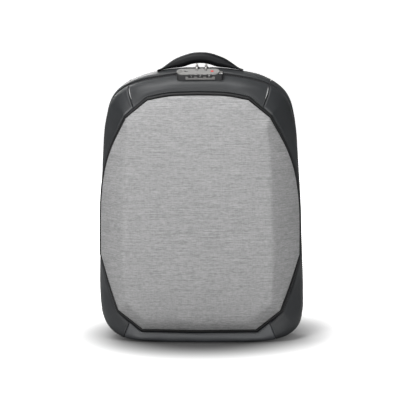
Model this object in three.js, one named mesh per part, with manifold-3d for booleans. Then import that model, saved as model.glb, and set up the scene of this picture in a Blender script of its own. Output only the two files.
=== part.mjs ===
// A clamshell backpack with a moulded front shell, a combination lock over the zip, a carry handle and
// two shoulder straps. It stands on its base with the shell facing -Y. Millimetres, +Z up.
import * as THREE from "three";
import { mergeVertices } from "three/addons/utils/BufferGeometryUtils.js";
import Module from "manifold-3d";

const wasm = await Module();
wasm.setup();

// The bag: depths are measured from the plane of the zip at the sides
const BODY_WIDTH = 318;
const BODY_HEIGHT = 422;
const FRONT_DEPTH = 74;
const REAR_DEPTH = 58;
const PIVOT_SHARE = 0.47;
const STATIONS = 54;

// Walls, seams and trim
const CLOTH = 2.4;
const SHELL_WALL = 3;
const SHELL_RIM = 6;
const SEAM_GAP = 0.4;
const PIPING_RADIUS = 1.8;
const ZIP_OPENING = 9;
const ZIP_TUCK = 5;
const TAPE_WALL = 1;
const TAPE_GAP = 0.7;
const CHAIN_WIDTH = 5.4;
const CHAIN_WALL = 1.5;

// Back panel, pads and straps
const BACK_WALL = 7;
const BACK_BEVEL = 12;
const PAD_WIDTH = 92;
const PAD_THICK = 10;
const PAD_CHANNEL = 40;
const PAD_BOTTOM = 78;
const PAD_DROP = 60;
const PAD_CORNER = 28;
const STRAP_WIDTH = 62;
const STRAP_THICK = 12;
const STRAP_BOW = 36;
const WEBBING_WIDTH = 25;
const WEBBING_WALL = 1.6;
const BUCKLE_WIDTH = 33;
const BUCKLE_WALL = 4;
const BUCKLE_CORNER = 3;
const SLOT_SLACK = 1.6;
const TAIL_LENGTH = 84;
const ANCHOR_WIDTH = 33;
const ANCHOR_HEIGHT = 34;
const ANCHOR_WALL = 2;
const ANCHOR_TAPER = 0.9;
const ANCHOR_ACROSS = 0.71;
const ANCHOR_UP = 0.155;

// Handle
const HANDLE_SPAN = 134;
const HANDLE_RISE = 5.6;
const HANDLE_WIDTH = 27;
const HANDLE_THICK = 17.4;
const HANDLE_BACK = 16;

// Lock, drawn lying flat with its top plate at z = 0, then tilted forward and set in front of the zip
// and above it
const LOCK_TILT = THREE.MathUtils.degToRad(27);
const LOCK_FORWARD = 16.6;
const LOCK_RISE = 2.4;
const LOCK_LENGTH = 71;
const LOCK_DEPTH = 17;
const LOCK_HEIGHT = 12;
const LOCK_CORNER = 4;
const LOCK_SHIFT = 2.7;
const PLATE_LENGTH = 65.6;
const PLATE_DEPTH = 16;
const PLATE_WALL = 1.8;
const FIT_GAP = 0.3;
const RUNNING_GAP = 0.35;
const DIAL_RADIUS = 2.8;
const DIAL_WIDTH = 8.4;
const DIAL_PITCH = 13.8;
const DIAL_SHIFT = 3.3;
const DIAL_DROP = 3.9;
const DIAL_NOTCH = 0.35;
const DIAL_PROUD = 0.9;
const AXLE_RADIUS = 0.9;
const FRAME_LENGTH = 45;
const FRAME_HEIGHT = 5;
const FRAME_DROP = 2.1;
const FRAME_BAR = 3;
const FRAME_WALL = 0.8;
const BUTTON_LENGTH = 8.6;
const BUTTON_DEPTH = 7;
const BUTTON_HEIGHT = 3.8;
const BUTTON_TRAVEL = 3;
const KEY_RADIUS = 2.2;
const KEY_SHIFT = -27.6;
const KEY_LENGTH = 8;
const CUFF_RADIUS = 4.2;
const CUFF_RISE = 0.6;
const KEYWAY_WIDTH = 0.8;
const KEYWAY_LENGTH = 2.6;
const SLOT_SHIFT = -18.6;
const SLOT_LENGTH = 5.6;
const SLOT_WIDTH = 2.6;
const DOT_SHIFT = 21.5;
const DOT_RADIUS = 2.2;

// Zip sliders and their pulls
const SLIDER_SHIFTS = { left: -2.3, right: 11.6 };
const SLIDER_LENGTH = 12.6;
const SLIDER_WIDTH = 8.2;
const SLIDER_HEIGHT = 3;
const SLIDER_LIFT = 0.6;
const BRIDGE_LENGTH = 7.6;
const BRIDGE_HEIGHT = 7;
const BRIDGE_WALL = 1.5;
const BRIDGE_DEPTH = 2.4;
const PULL_WIDTH = 3.6;
const PULL_WALL = 1.2;

// Front outline of the bag from the base centre up the side to the top centre: shares of BODY_HEIGHT
// and of half BODY_WIDTH. The left bottom corner has slumped rounder than the right one.
const OUTLINE = [
  { up: 0, right: 0, left: 0 },
  { up: 0, right: 0.52, left: 0.5 },
  { up: 0.004, right: 0.7, left: 0.67 },
  { up: 0.02, right: 0.86, left: 0.805 },
  { up: 0.052, right: 0.955, left: 0.9 },
  { up: 0.105, right: 0.995, left: 0.965 },
  { up: 0.18, right: 1.003, left: 0.995 },
  { up: 0.27, right: 0.998, left: 0.996 },
  { up: 0.4, right: 0.986, left: 0.986 },
  { up: 0.52, right: 0.977, left: 0.977 },
  { up: 0.63, right: 0.96, left: 0.96 },
  { up: 0.7, right: 0.949, left: 0.949 },
  { up: 0.775, right: 0.934, left: 0.934 },
  { up: 0.83, right: 0.914, left: 0.914 },
  { up: 0.872, right: 0.889, left: 0.889 },
  { up: 0.905, right: 0.845, left: 0.845 },
  { up: 0.934, right: 0.77, left: 0.77 },
  { up: 0.957, right: 0.67, left: 0.67 },
  { up: 0.975, right: 0.55, left: 0.55 },
  { up: 0.99, right: 0.36, left: 0.36 },
  { up: 0.998, right: 0.18, left: 0.18 },
  { up: 1, right: 0, left: 0 },
];

// Visible edge of the moulded shell, base centre to top centre: shares of half BODY_WIDTH, BODY_HEIGHT
// and FRONT_DEPTH. Rows marked corner are the cut corners; the wing between two of them is a curve.
const SHELL_EDGE = [
  { across: 0, up: 0.048, depth: 0.81 },
  { across: 0.55, up: 0.05, depth: 0.77, corner: true },
  { across: 0.785, up: 0.12, depth: 0.75, corner: true },
  { across: 0.882, up: 0.215, depth: 0.53 },
  { across: 0.97, up: 0.315, depth: 0.31, corner: true },
  { across: 0.972, up: 0.41, depth: 0.26 },
  { across: 0.962, up: 0.52, depth: 0.27 },
  { across: 0.92, up: 0.625, depth: 0.37 },
  { across: 0.845, up: 0.71, depth: 0.51 },
  { across: 0.692, up: 0.822, depth: 0.71, corner: true },
  { across: 0.485, up: 0.885, depth: 0.66, corner: true },
  { across: 0.28, up: 0.899, depth: 0.65 },
  { across: 0, up: 0.903, depth: 0.65 },
];

// Line where the flat face of the shell folds away: the same shares as SHELL_EDGE
const SHELL_CREASE = [
  { across: 0, up: 0.085, depth: 0.95 },
  { across: 0.5, up: 0.09, depth: 0.94, corner: true },
  { across: 0.7, up: 0.15, depth: 0.93, corner: true },
  { across: 0.72, up: 0.3, depth: 0.955 },
  { across: 0.712, up: 0.5, depth: 0.94 },
  { across: 0.695, up: 0.68, depth: 0.89 },
  { across: 0.665, up: 0.79, depth: 0.84, corner: true },
  { across: 0.46, up: 0.853, depth: 0.79, corner: true },
  { across: 0, up: 0.865, depth: 0.78 },
];

// Rows of the cloth body behind the shell at the base, sides and top: inset from OUTLINE and depth
// from the zip plane (minus is forward), as shares of the depth named in each row
const BODY_ROWS = [
  { name: "shoulder", of: FRONT_DEPTH, base: [0.011, -0.69], side: [0.008, -0.1], top: [0.28, -0.5] },
  { name: "zip", of: FRONT_DEPTH, base: [0, 0.08], side: [0, 0.08], top: [0.095, -0.216] },
  { name: "crown", of: REAR_DEPTH, base: [0, 0.45], side: [0, 0.45], top: [0, 0.24] },
  { name: "rear shoulder", of: REAR_DEPTH, base: [0, 0.76], side: [0.052, 0.76], top: [0.086, 0.76] },
  { name: "back edge", of: REAR_DEPTH, base: [0.22, 0.97], side: [0.24, 0.97], top: [0.31, 0.97] },
];
const HEM = 0;
const ZIP = 2;
const CROWN = 3;
const BACK_EDGE = 5;

// Directions from the pivot, in degrees from +X: panel seams, zip ends and where the rows blend.
// A seam leans between the hem and the zip, and runs straight on to the back from there.
const TOP_SEAM = { hem: 58.5, zip: 61.5 };
const BASE_SEAM = { hem: -57.2, zip: -60 };
const ZIP_END = -42;
const ZIP_TAPER = 5;
const BASE_BLEND = [-64, -32];
const TOP_BLEND = [38, 74];
const LOCK_SEAT = [74, 106];

// Back pad from its seat outwards: inset of its edge and height, as shares of PAD_THICK
const PAD_ROWS = [
  { inset: 0.15, up: 0 },
  { inset: 0, up: 0.35 },
  { inset: 0.3, up: 0.8 },
  { inset: 1, up: 1 },
];

// Shoulder strap from its root under the handle to its buckle end: shares of half BODY_WIDTH,
// STRAP_BOW, BODY_HEIGHT, STRAP_WIDTH and STRAP_THICK
const STRAP_ROWS = [
  { across: 0.25, behind: 0, up: 0.925, wide: 0.9, thick: 0.55 },
  { across: 0.26, behind: 0.14, up: 0.9, wide: 0.92, thick: 0.8 },
  { across: 0.29, behind: 0.5, up: 0.855, wide: 0.96, thick: 1 },
  { across: 0.35, behind: 0.82, up: 0.78, wide: 1, thick: 1 },
  { across: 0.42, behind: 0.97, up: 0.69, wide: 1, thick: 1 },
  { across: 0.485, behind: 1, up: 0.59, wide: 0.96, thick: 1 },
  { across: 0.53, behind: 0.95, up: 0.49, wide: 0.88, thick: 1 },
  { across: 0.56, behind: 0.86, up: 0.4, wide: 0.78, thick: 0.9 },
  { across: 0.58, behind: 0.76, up: 0.335, wide: 0.62, thick: 0.6 },
];

// Half of the handle from its middle: shares of half HANDLE_SPAN, of HANDLE_RISE above its seat,
// HANDLE_WIDTH and HANDLE_THICK
const HANDLE_ROWS = [
  { across: 0, clear: 1, wide: 1, thick: 1 },
  { across: 0.14, clear: 0.9, wide: 1, thick: 1 },
  { across: 0.27, clear: 0.58, wide: 1, thick: 1 },
  { across: 0.4, clear: 0.15, wide: 1, thick: 0.99 },
  { across: 0.52, clear: 0, wide: 1, thick: 0.89 },
  { across: 0.66, clear: 0, wide: 0.98, thick: 0.64 },
  { across: 0.8, clear: 0, wide: 0.95, thick: 0.35 },
  { across: 0.9, clear: 0, wide: 0.93, thick: 0.17 },
  { across: 1, clear: 0, wide: 0.9, thick: 0.1 },
];

// Adjuster, side view in millimetres past the end of the strap and out from its middle plane
const BUCKLE = { start: 8, end: 32, slots: [{ from: 12, to: 17 }, { from: 21, to: 28 }] };
const LOOP_PATH = [
  [7, 3.2], [12.4, 3.2], [13.5, 2.1], [13.6, 0], [13.5, -2.1], [12.4, -3.2], [7, -3.2], [0.8, -3.1],
];
const WEBBING_PATH = [
  [22, -5.1], [18.6, -5], [16.9, -4.2], [16, -2.6], [15.8, 0], [15.6, 2.2], [16.6, 3.3], [18.4, 3.4],
  [19.8, 3.4], [21.4, 3.2], [22.4, 2.2], [22.6, 0.4], [22.8, -1.2], [23.8, -2.6], [25.8, -3.2], [33, -3.2],
];
const LOAD_START = [34, -5.2];

// Pull, side view across the bag: through the slider's bridge, up behind the lock and over its plate
const PULL_AT_SLIDER = [
  [-2.2, 6.8], [-2.1, 5.4], [-1.2, 4.6], [0, 4.5], [1.2, 4.6], [2.2, 5.5], [2.4, 8.2], [1.9, 11.4],
];
const PULL_AT_LOCK = [[13.2, 5.6], [11.2, 5.9], [9.4, 4], [8, 2], [6.4, 1.15], [2.4, 1.1]];

const { clamp, degToRad, euclideanModulo, lerp, smoothstep } = THREE.MathUtils;
const HALF_WIDTH = BODY_WIDTH / 2;
const PIVOT = new THREE.Vector3(0, 0, PIVOT_SHARE * BODY_HEIGHT);
const QUARTER = Math.PI / 2;
const TURN = 2 * Math.PI;
const SIDES = { left: -1, right: 1 };
const ACROSS = new THREE.Vector3(1, 0, 0);

// Solids

function manifoldOf(geometry) {
  const bare = new THREE.BufferGeometry().setAttribute("position", geometry.getAttribute("position"));
  bare.setIndex(geometry.index);
  const merged = mergeVertices(bare, 1e-4);
  return new wasm.Manifold(
    new wasm.Mesh({
      numProp: 3,
      vertProperties: new Float32Array(merged.attributes.position.array),
      triVerts: new Uint32Array(merged.index.array),
    }),
  );
}

function geometryOf(solid) {
  const mesh = solid.getMesh();
  const positions = new Float32Array(mesh.numVert * 3);
  for (let i = 0; i < mesh.numVert; i++) {
    positions.set(mesh.vertProperties.subarray(i * mesh.numProp, i * mesh.numProp + 3), i * 3);
  }
  return new THREE.BufferGeometry()
    .setAttribute("position", new THREE.BufferAttribute(positions, 3))
    .setIndex(new THREE.BufferAttribute(new Uint32Array(mesh.triVerts), 1));
}

function subtract(body, ...tools) {
  return geometryOf(tools.reduce((solid, tool) => solid.subtract(manifoldOf(tool)), manifoldOf(body)));
}

function unite(body, ...others) {
  return geometryOf(others.reduce((solid, other) => solid.add(manifoldOf(other)), manifoldOf(body)));
}

// A geometry from points and triangles, without empty triangles and with its faces outwards.
function facingOut(points, faces) {
  const kept = [];
  let volume = 0;
  for (let f = 0; f < faces.length; f += 3) {
    const [a, b, c] = faces.slice(f, f + 3).map((n) => points[n]);
    const area = new THREE.Vector3().crossVectors(b.clone().sub(a), c.clone().sub(a));
    if (area.length() < 1e-9) continue;
    volume += a.dot(new THREE.Vector3().crossVectors(b, c));
    kept.push(faces.slice(f, f + 3));
  }
  const turned = kept.map(([a, b, c]) => (volume < 0 ? [a, c, b] : [a, b, c]));
  const flat = new Float32Array(points.flatMap((p) => p.toArray()));
  const geometry = new THREE.BufferGeometry()
    .setAttribute("position", new THREE.BufferAttribute(flat, 3))
    .setIndex(turned.flat());
  return mergeVertices(geometry, 1e-4);
}

// A wall between two grids of points, [row][column]. Where closed is true the last row meets the first.
function wallBetween(outer, inner, closed) {
  const rows = outer.length;
  const columns = outer[0].length;
  const last = columns - 1;
  const steps = closed ? rows : rows - 1;
  const at = (row, column, side) => (side * rows + (row % rows)) * columns + column;
  const faces = [];
  const quad = (a, b, c, d) => faces.push(a, b, c, a, c, d);
  for (let r = 0; r < steps; r++) {
    for (let c = 0; c < last; c++) {
      quad(at(r, c, 0), at(r + 1, c, 0), at(r + 1, c + 1, 0), at(r, c + 1, 0));
      quad(at(r, c, 1), at(r, c + 1, 1), at(r + 1, c + 1, 1), at(r + 1, c, 1));
    }
    quad(at(r, 0, 0), at(r, 0, 1), at(r + 1, 0, 1), at(r + 1, 0, 0));
    quad(at(r, last, 0), at(r + 1, last, 0), at(r + 1, last, 1), at(r, last, 1));
  }
  if (!closed) {
    for (let c = 0; c < last; c++) {
      quad(at(0, c, 0), at(0, c + 1, 0), at(0, c + 1, 1), at(0, c, 1));
      quad(at(steps, c, 0), at(steps, c, 1), at(steps, c + 1, 1), at(steps, c + 1, 0));
    }
  }
  return facingOut([...outer.flat(), ...inner.flat()], faces);
}

// A solid through a row of rings, closed on itself or ended flat.
function loft(rings, closed = false) {
  const sides = rings[0].length;
  const last = rings.length - 1;
  const at = (ring, side) => (ring % rings.length) * sides + (side % sides);
  const faces = [];
  for (let r = 0; r < (closed ? rings.length : last); r++) {
    for (let s = 0; s < sides; s++) {
      faces.push(at(r, s), at(r, s + 1), at(r + 1, s + 1), at(r, s), at(r + 1, s + 1), at(r + 1, s));
    }
  }
  for (let s = 1; !closed && s < sides - 1; s++) {
    faces.push(at(0, 0), at(0, s + 1), at(0, s), at(last, 0), at(last, s), at(last, s + 1));
  }
  return facingOut(rings.flat(), faces);
}

// Points round a unit section: squareness 1 is an ellipse, smaller values are nearer a box.
function unitSection(sides, squareness) {
  const power = (value) => Math.sign(value) * Math.abs(value) ** squareness;
  return Array.from({ length: sides }, (_, k) => {
    const turn = (TURN * (k + 0.5)) / sides;
    return [power(Math.cos(turn)), power(Math.sin(turn))];
  });
}

const ROUND_CORD = unitSection(5, 1);
const SOFT_OVAL = unitSection(10, 0.85);
const SOFT_PAD = unitSection(8, 0.5);
const FLAT_BAND = [[1, 1], [-1, 1], [-1, -1], [1, -1]];

// Unit directions at one station of a line of centres: along it, to its side and up from it.
function axesAt(centres, i, side, closed = false) {
  const count = centres.length;
  const before = centres[closed ? (i + count - 1) % count : Math.max(i - 1, 0)];
  const after = centres[closed ? (i + 1) % count : Math.min(i + 1, count - 1)];
  const along = after.clone().sub(before).normalize();
  const square = side.clone().addScaledVector(along, -side.dot(along)).normalize();
  return { along, side: square, up: new THREE.Vector3().crossVectors(square, along) };
}

// A section carried along a line of centres; sizeAt gives half of its width and thickness.
function sweep(centres, section, sizeAt, sideAt = () => ACROSS, closed = false) {
  const rings = centres.map((centre, i) => {
    const axes = axesAt(centres, i, sideAt(i), closed);
    const [wide, thick] = sizeAt(i);
    return section.map(([u, v]) =>
      centre
        .clone()
        .addScaledVector(axes.side, u * wide)
        .addScaledVector(axes.up, v * thick),
    );
  });
  return loft(rings, closed);
}

function band(centres, width, wall, side = ACROSS) {
  return sweep(centres, FLAT_BAND, () => [width / 2, wall / 2], () => side);
}

function roundedShape(width, height, radius) {
  const [w, h] = [width / 2 - radius, height / 2 - radius];
  return new THREE.Shape()
    .absarc(w, h, radius, 0, QUARTER)
    .absarc(-w, h, radius, QUARTER, 2 * QUARTER)
    .absarc(-w, -h, radius, 2 * QUARTER, 3 * QUARTER)
    .absarc(w, -h, radius, 3 * QUARTER, TURN);
}

function rectanglePath(width, height, x, y) {
  const [w, h] = [width / 2, height / 2];
  return new THREE.Path()
    .moveTo(x - w, y - h)
    .lineTo(x - w, y + h)
    .lineTo(x + w, y + h)
    .lineTo(x + w, y - h)
    .closePath();
}

function extrude(shape, depth, curveSegments = 4) {
  const solid = new THREE.ExtrudeGeometry(shape, { depth, bevelEnabled: false, curveSegments });
  solid.deleteAttribute("normal");
  solid.deleteAttribute("uv");
  return mergeVertices(solid, 1e-4);
}

function block(width, depth, height, x, y, z) {
  return new THREE.BoxGeometry(width, depth, height).translate(x, y, z);
}

function rodAlongX(radius, length, sides) {
  return new THREE.CylinderGeometry(radius, radius, length, sides).rotateZ(QUARTER);
}

function rodAlongZ(radius, bottom, top, sides) {
  const rod = new THREE.CylinderGeometry(radius, radius, top - bottom, sides).rotateX(QUARTER);
  return rod.translate(0, 0, (top + bottom) / 2);
}

// More rows in place of a short table, with a smooth line through every column.
function finerRows(rows, count) {
  return Array.from({ length: count }, (_, k) => {
    const place = (k / (count - 1)) * (rows.length - 1);
    const first = Math.min(Math.floor(place), rows.length - 2);
    const t = place - first;
    const near = [-1, 0, 1, 2].map((n) => rows[clamp(first + n, 0, rows.length - 1)]);
    const through = (key) => {
      const [a, b, c, d] = near.map((row) => row[key]);
      const bend = (2 * a - 5 * b + 4 * c - d) * t * t + (3 * b - a - 3 * c + d) * t ** 3;
      return b + 0.5 * ((c - a) * t + bend);
    };
    return Object.fromEntries(Object.keys(rows[0]).map((key) => [key, through(key)]));
  });
}

// Loops round the bag, read by their direction from the pivot

function directionOf(point) {
  const angle = Math.atan2(point.z - PIVOT.z, point.x);
  return angle < -QUARTER ? angle + TURN : angle;
}

function spline(points, closed, steps) {
  return new THREE.CatmullRomCurve3(points, closed, "centripetal").getPoints(steps);
}

function mirrorLoop(right) {
  const left = right.slice(0, -1).map((p) => new THREE.Vector3(-p.x, p.y, p.z));
  return [...right, ...left.reverse()];
}

function outlineLoop() {
  const side = (key, sign) =>
    OUTLINE.map((row) => new THREE.Vector3(sign * row[key] * HALF_WIDTH, 0, row.up * BODY_HEIGHT));
  const once = [...side("right", 1), ...side("left", -1).slice(1, -1).reverse()];
  return spline(once, true, 12 * once.length);
}

function shellLoop(rows) {
  const stretches = [[]];
  for (const { across, up, depth, corner } of rows) {
    const point = new THREE.Vector3(across * HALF_WIDTH, -depth * FRONT_DEPTH, up * BODY_HEIGHT);
    stretches.at(-1).push(point);
    if (corner) stretches.push([point]);
  }
  return mirrorLoop(
    stretches.flatMap((stretch, n) => spline(stretch, false, 8 * stretch.length).slice(n ? 1 : 0)),
  );
}

// A function from direction to the point of the loop that lies that way.
function reader(loop) {
  const angles = loop.map(directionOf);
  angles[0] = -QUARTER;
  angles[angles.length - 1] = TURN - QUARTER;
  return (angle) => {
    const turned = euclideanModulo(angle + QUARTER, TURN) - QUARTER;
    const next = Math.max(1, angles.findIndex((a) => a >= turned));
    const along = loop[next].clone().sub(loop[next - 1]);
    const offRay = (v) => v.x * Math.sin(turned) - v.z * Math.cos(turned);
    const share = -offRay(loop[next - 1].clone().sub(PIVOT)) / offRay(along);
    return loop[next - 1].clone().addScaledVector(along, clamp(share, 0, 1));
  };
}

const OUTLINE_LOOP = outlineLoop();
const outlineAt = reader(OUTLINE_LOOP);
const shellEdgeAt = reader(shellLoop(SHELL_EDGE));
const shellCreaseAt = reader(shellLoop(SHELL_CREASE));

const radial = (angle) => new THREE.Vector3(Math.cos(angle), 0, Math.sin(angle));
const heightOf = (angle) => Math.asin(Math.sin(angle));

// A direction on the right, given in degrees, and the same one on the left.
function bothSides(degrees) {
  return [degToRad(degrees), Math.PI - degToRad(degrees)];
}

function shellCorners() {
  return SHELL_EDGE.filter((row) => row.corner).flatMap(({ across, up }) => {
    const angle = Math.atan2(up * BODY_HEIGHT - PIVOT.z, across * HALF_WIDTH);
    return [angle, Math.PI - angle];
  });
}

// Directions to sample: closer where the outline turns, and exactly on the corners and seams.
function stationAngles() {
  const perimeter = 2 * (BODY_WIDTH + BODY_HEIGHT);
  const travelled = [0];
  for (let i = 1; i < OUTLINE_LOOP.length; i++) {
    const step = OUTLINE_LOOP[i].clone().sub(OUTLINE_LOOP[i - 1]);
    const next = OUTLINE_LOOP[(i + 1) % (OUTLINE_LOOP.length - 1)].clone().sub(OUTLINE_LOOP[i]);
    travelled.push(travelled[i - 1] + step.length() / perimeter + step.angleTo(next) / TURN);
  }
  const angles = Array.from({ length: STATIONS }, (_, k) => {
    const goal = (travelled.at(-1) * k) / STATIONS;
    const i = Math.max(1, travelled.findIndex((t) => t >= goal));
    const share = (goal - travelled[i - 1]) / (travelled[i] - travelled[i - 1]);
    return directionOf(OUTLINE_LOOP[i - 1].clone().lerp(OUTLINE_LOOP[i], share));
  });
  const taken = new Set([0]);
  const ends = [BASE_SEAM.zip, TOP_SEAM.zip, ZIP_END].flatMap(bothSides);
  for (const special of [...shellCorners(), ...ends]) {
    const free = angles.map((_, i) => i).filter((i) => !taken.has(i));
    const distance = (i) => Math.abs(angles[i] - special);
    const nearest = free.reduce((best, i) => (distance(i) < distance(best) ? i : best));
    angles[nearest] = special;
    taken.add(nearest);
  }
  return angles.sort((a, b) => a - b);
}

const STATION_ANGLES = stationAngles();

// The cloth body as a skin: a direction round the bag, and a row from the hem at the shell to the back

function bodyRow(row, angle) {
  const height = heightOf(angle);
  const base = 1 - smoothstep(height, ...BASE_BLEND.map(degToRad));
  const top = smoothstep(height, ...TOP_BLEND.map(degToRad));
  const mixed = (n) => (base * row.base[n] + (1 - base - top) * row.side[n] + top * row.top[n]) * row.of;
  const point = outlineAt(angle).addScaledVector(radial(angle), -mixed(0));
  point.y = mixed(1);
  return point;
}

// Where the shell's turned-back rim ends.
function rimEnd(angle) {
  const end = shellEdgeAt(angle).addScaledVector(radial(angle), -SEAM_GAP);
  end.y += SHELL_RIM;
  return end;
}

function towardShoulder(angle, distance) {
  const start = rimEnd(angle);
  const direction = bodyRow(BODY_ROWS[0], angle).sub(start).normalize();
  return start.addScaledVector(direction, distance);
}

function skin(angle, row) {
  const hem = towardShoulder(angle, 2 * PIPING_RADIUS + 2 * SEAM_GAP);
  const points = [hem, ...BODY_ROWS.map((bodyPart) => bodyRow(bodyPart, angle))];
  const curve = new THREE.CatmullRomCurve3(points, false, "centripetal");
  const point = curve.getPoint(clamp(row / (points.length - 1), 0, 1));
  point.z = Math.max(point.z, 0);
  return point;
}

function skinNormal(angle, row) {
  const small = 1e-3;
  const round = skin(angle + small, row).sub(skin(angle - small, row));
  const back = skin(angle, row + small).sub(skin(angle, row - small));
  const normal = new THREE.Vector3().crossVectors(round, back).normalize();
  return normal.dot(skin(angle, row).sub(PIVOT)) < 0 ? normal.negate() : normal;
}

function onSkin(angle, row, lift) {
  return skin(angle, row).addScaledVector(skinNormal(angle, row), lift);
}

// The row a distance in millimetres from another one, along the skin.
function rowFrom(angle, row, distance) {
  const small = 0.02;
  const reach = skin(angle, row + small).distanceTo(skin(angle, row - small)) / (2 * small);
  return row + distance / reach;
}

// A wall on the skin between two ends, each the direction at a row, and two rows, each the row in a
// direction. Its outer face is lifted off the skin.
function patch({ from, to, first, last, steps, lift = 0, wall }) {
  const margin = SEAM_GAP / 2 / HALF_WIDTH;
  const corners = (end) => [first, last].map((rowAt) => end(rowAt(end(ZIP))));
  const low = Math.max(...corners(from)) + 4 * margin;
  const high = Math.min(...corners(to)) - 4 * margin;
  const turned = [...STATION_ANGLES.map((a) => a - TURN), ...STATION_ANGLES];
  const inside = turned.filter((a) => a > low && a < high).map((a) => () => a);
  const stations = [(row) => from(row) + margin, ...inside, (row) => to(row) - margin];
  const side = (away) =>
    stations.map((angleAt) => {
      const [start, end] = [first(angleAt(ZIP)), last(angleAt(ZIP))];
      return Array.from({ length: steps + 1 }, (_, k) => {
        const row = lerp(start, end, k / steps);
        return onSkin(angleAt(row), row, away);
      });
    });
  return wallBetween(side(lift), side(lift - wall), false);
}

// The direction of a seam at a row of the skin, on one side.
function seamAt({ hem, zip }, side) {
  const [atHemRow, atZipRow] = [hem, zip].map((degrees) => bothSides(degrees)[side === "right" ? 0 : 1]);
  return (row) => lerp(atHemRow, atZipRow, clamp(row / ZIP, 0, 1));
}

const SEAM = {
  right: { base: seamAt(BASE_SEAM, "right"), top: seamAt(TOP_SEAM, "right") },
  left: { base: seamAt(BASE_SEAM, "left"), top: seamAt(TOP_SEAM, "left") },
};
const atHem = () => HEM;
const atBackEdge = () => BACK_EDGE;

function zipEdge(angle, sign) {
  const open = smoothstep(heightOf(angle), degToRad(ZIP_END - ZIP_TAPER), degToRad(ZIP_END));
  return rowFrom(angle, ZIP, (sign * lerp(SEAM_GAP, ZIP_OPENING, open)) / 2);
}

const CHAIN_TOP = -CLOTH - TAPE_GAP + FIT_GAP + CHAIN_WALL;
const zipFront = (angle) => zipEdge(angle, -1);
const zipRear = (angle) => zipEdge(angle, 1);

// Materials

const material = (color, roughness, metalness = 0) =>
  new THREE.MeshStandardMaterial({ color, roughness, metalness });
const HEATHER_CLOTH = material(0x9d9d9d, 0.9);
const COATED_CLOTH = material(0x3b3d3f, 0.55);
const BLACK_TRIM = material(0x161718, 0.6);
const PADDED_MESH = material(0x242526, 0.95);
const BLACK_WEBBING = material(0x1b1c1d, 0.8);
const BLACK_PLASTIC = material(0x18191a, 0.4);
const GUNMETAL = material(0x8b8a88, 0.35, 0.9);
const BRIGHT_METAL = material(0xb9b8b4, 0.25, 1);
const RED_INLAY = material(0xb02a26, 0.3);

function piece(name, geometry, finish) {
  const mesh = new THREE.Mesh(geometry, finish);
  mesh.name = name;
  return mesh;
}

// The moulded shell and the body

function shellSection(angle) {
  const crease = shellCreaseAt(angle);
  const edge = shellEdgeAt(angle);
  const middle = new THREE.Vector3(0, -FRONT_DEPTH, PIVOT.z);
  const onFace = (share) => {
    const point = middle.clone().lerp(crease, share);
    point.y = lerp(middle.y, crease.y, share ** 2.5);
    return point;
  };
  const onWing = (share, bulge) => {
    const away = bulge * crease.distanceTo(edge) * Math.SQRT1_2;
    const point = crease.clone().lerp(edge, share).addScaledVector(radial(angle), away);
    point.y -= away;
    return point;
  };
  const wing = [onWing(0.1, 0.012), onWing(0.5, 0.06), onWing(0.88, 0.05)];
  return [middle, onFace(0.6), onFace(0.93), ...wing, edge, rimEnd(angle)];
}

function frontShell() {
  const outer = STATION_ANGLES.map(shellSection);
  const rows = outer.length;
  const last = outer[0].length - 1;
  const inner = outer.map((section, r) =>
    section.map((point, c) => {
      if (c === 0) return point.clone().add(new THREE.Vector3(0, SHELL_WALL, 0));
      if (c === last) return point.clone().addScaledVector(radial(STATION_ANGLES[r]), -SHELL_WALL);
      const round = outer[(r + 1) % rows][c].clone().sub(outer[(r + rows - 1) % rows][c]);
      const out = section[c + 1].clone().sub(section[c - 1]);
      const normal = new THREE.Vector3().crossVectors(round, out).normalize();
      const sign = normal.dot(point.clone().sub(PIVOT)) < 0 ? 1 : -1;
      return point.clone().addScaledVector(normal, sign * SHELL_WALL);
    }),
  );
  return wallBetween(outer, inner, true);
}

function pipingRound(centreAt) {
  const centres = STATION_ANGLES.map(centreAt);
  const out = (i) => radial(STATION_ANGLES[i]);
  return sweep(centres, ROUND_CORD, () => [PIPING_RADIUS, PIPING_RADIUS], out, true);
}

function backPipingCentre(angle) {
  const end = onSkin(angle, BACK_EDGE, -CLOTH / 2);
  const along = skin(angle, BACK_EDGE).sub(skin(angle, BACK_EDGE - 0.02)).normalize();
  return end.addScaledVector(along, PIPING_RADIUS + SEAM_GAP);
}

// Square to the back piping, towards the middle of the back.
function inward(angle) {
  const small = 1e-3;
  const along = backPipingCentre(angle + small).sub(backPipingCentre(angle - small));
  return new THREE.Vector3(-along.z, 0, along.x).normalize();
}

const BACK_FACE = REAR_DEPTH + 1;
const PAD_TOP = BODY_HEIGHT - PAD_DROP;

function backPanel() {
  const ring = (inset, y) =>
    STATION_ANGLES.map((angle) => {
      const reach = PIPING_RADIUS + SEAM_GAP + inset;
      const point = backPipingCentre(angle).addScaledVector(inward(angle), reach);
      return new THREE.Vector3(point.x, y, point.z);
    });
  return loft([
    ring(BACK_BEVEL, BACK_FACE - BACK_WALL),
    ring(0, BACK_FACE - BACK_WALL + 1),
    ring(0, BACK_FACE - 2),
    ring(BACK_BEVEL, BACK_FACE),
  ]);
}

function backPad(sign) {
  const middle = { x: sign * (PAD_CHANNEL / 2 + PAD_WIDTH / 2), z: (PAD_TOP + PAD_BOTTOM) / 2 };
  const rings = PAD_ROWS.map(({ inset, up }) => {
    const less = inset * PAD_THICK;
    const y = BACK_FACE + FIT_GAP + up * PAD_THICK;
    const shape = roundedShape(PAD_WIDTH - 2 * less, PAD_TOP - PAD_BOTTOM - 2 * less, PAD_CORNER - less);
    const points = shape.getPoints(5).slice(0, -1);
    return points.map((p) => new THREE.Vector3(middle.x + p.x, y, middle.z + p.y));
  });
  return loft(rings);
}

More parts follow.
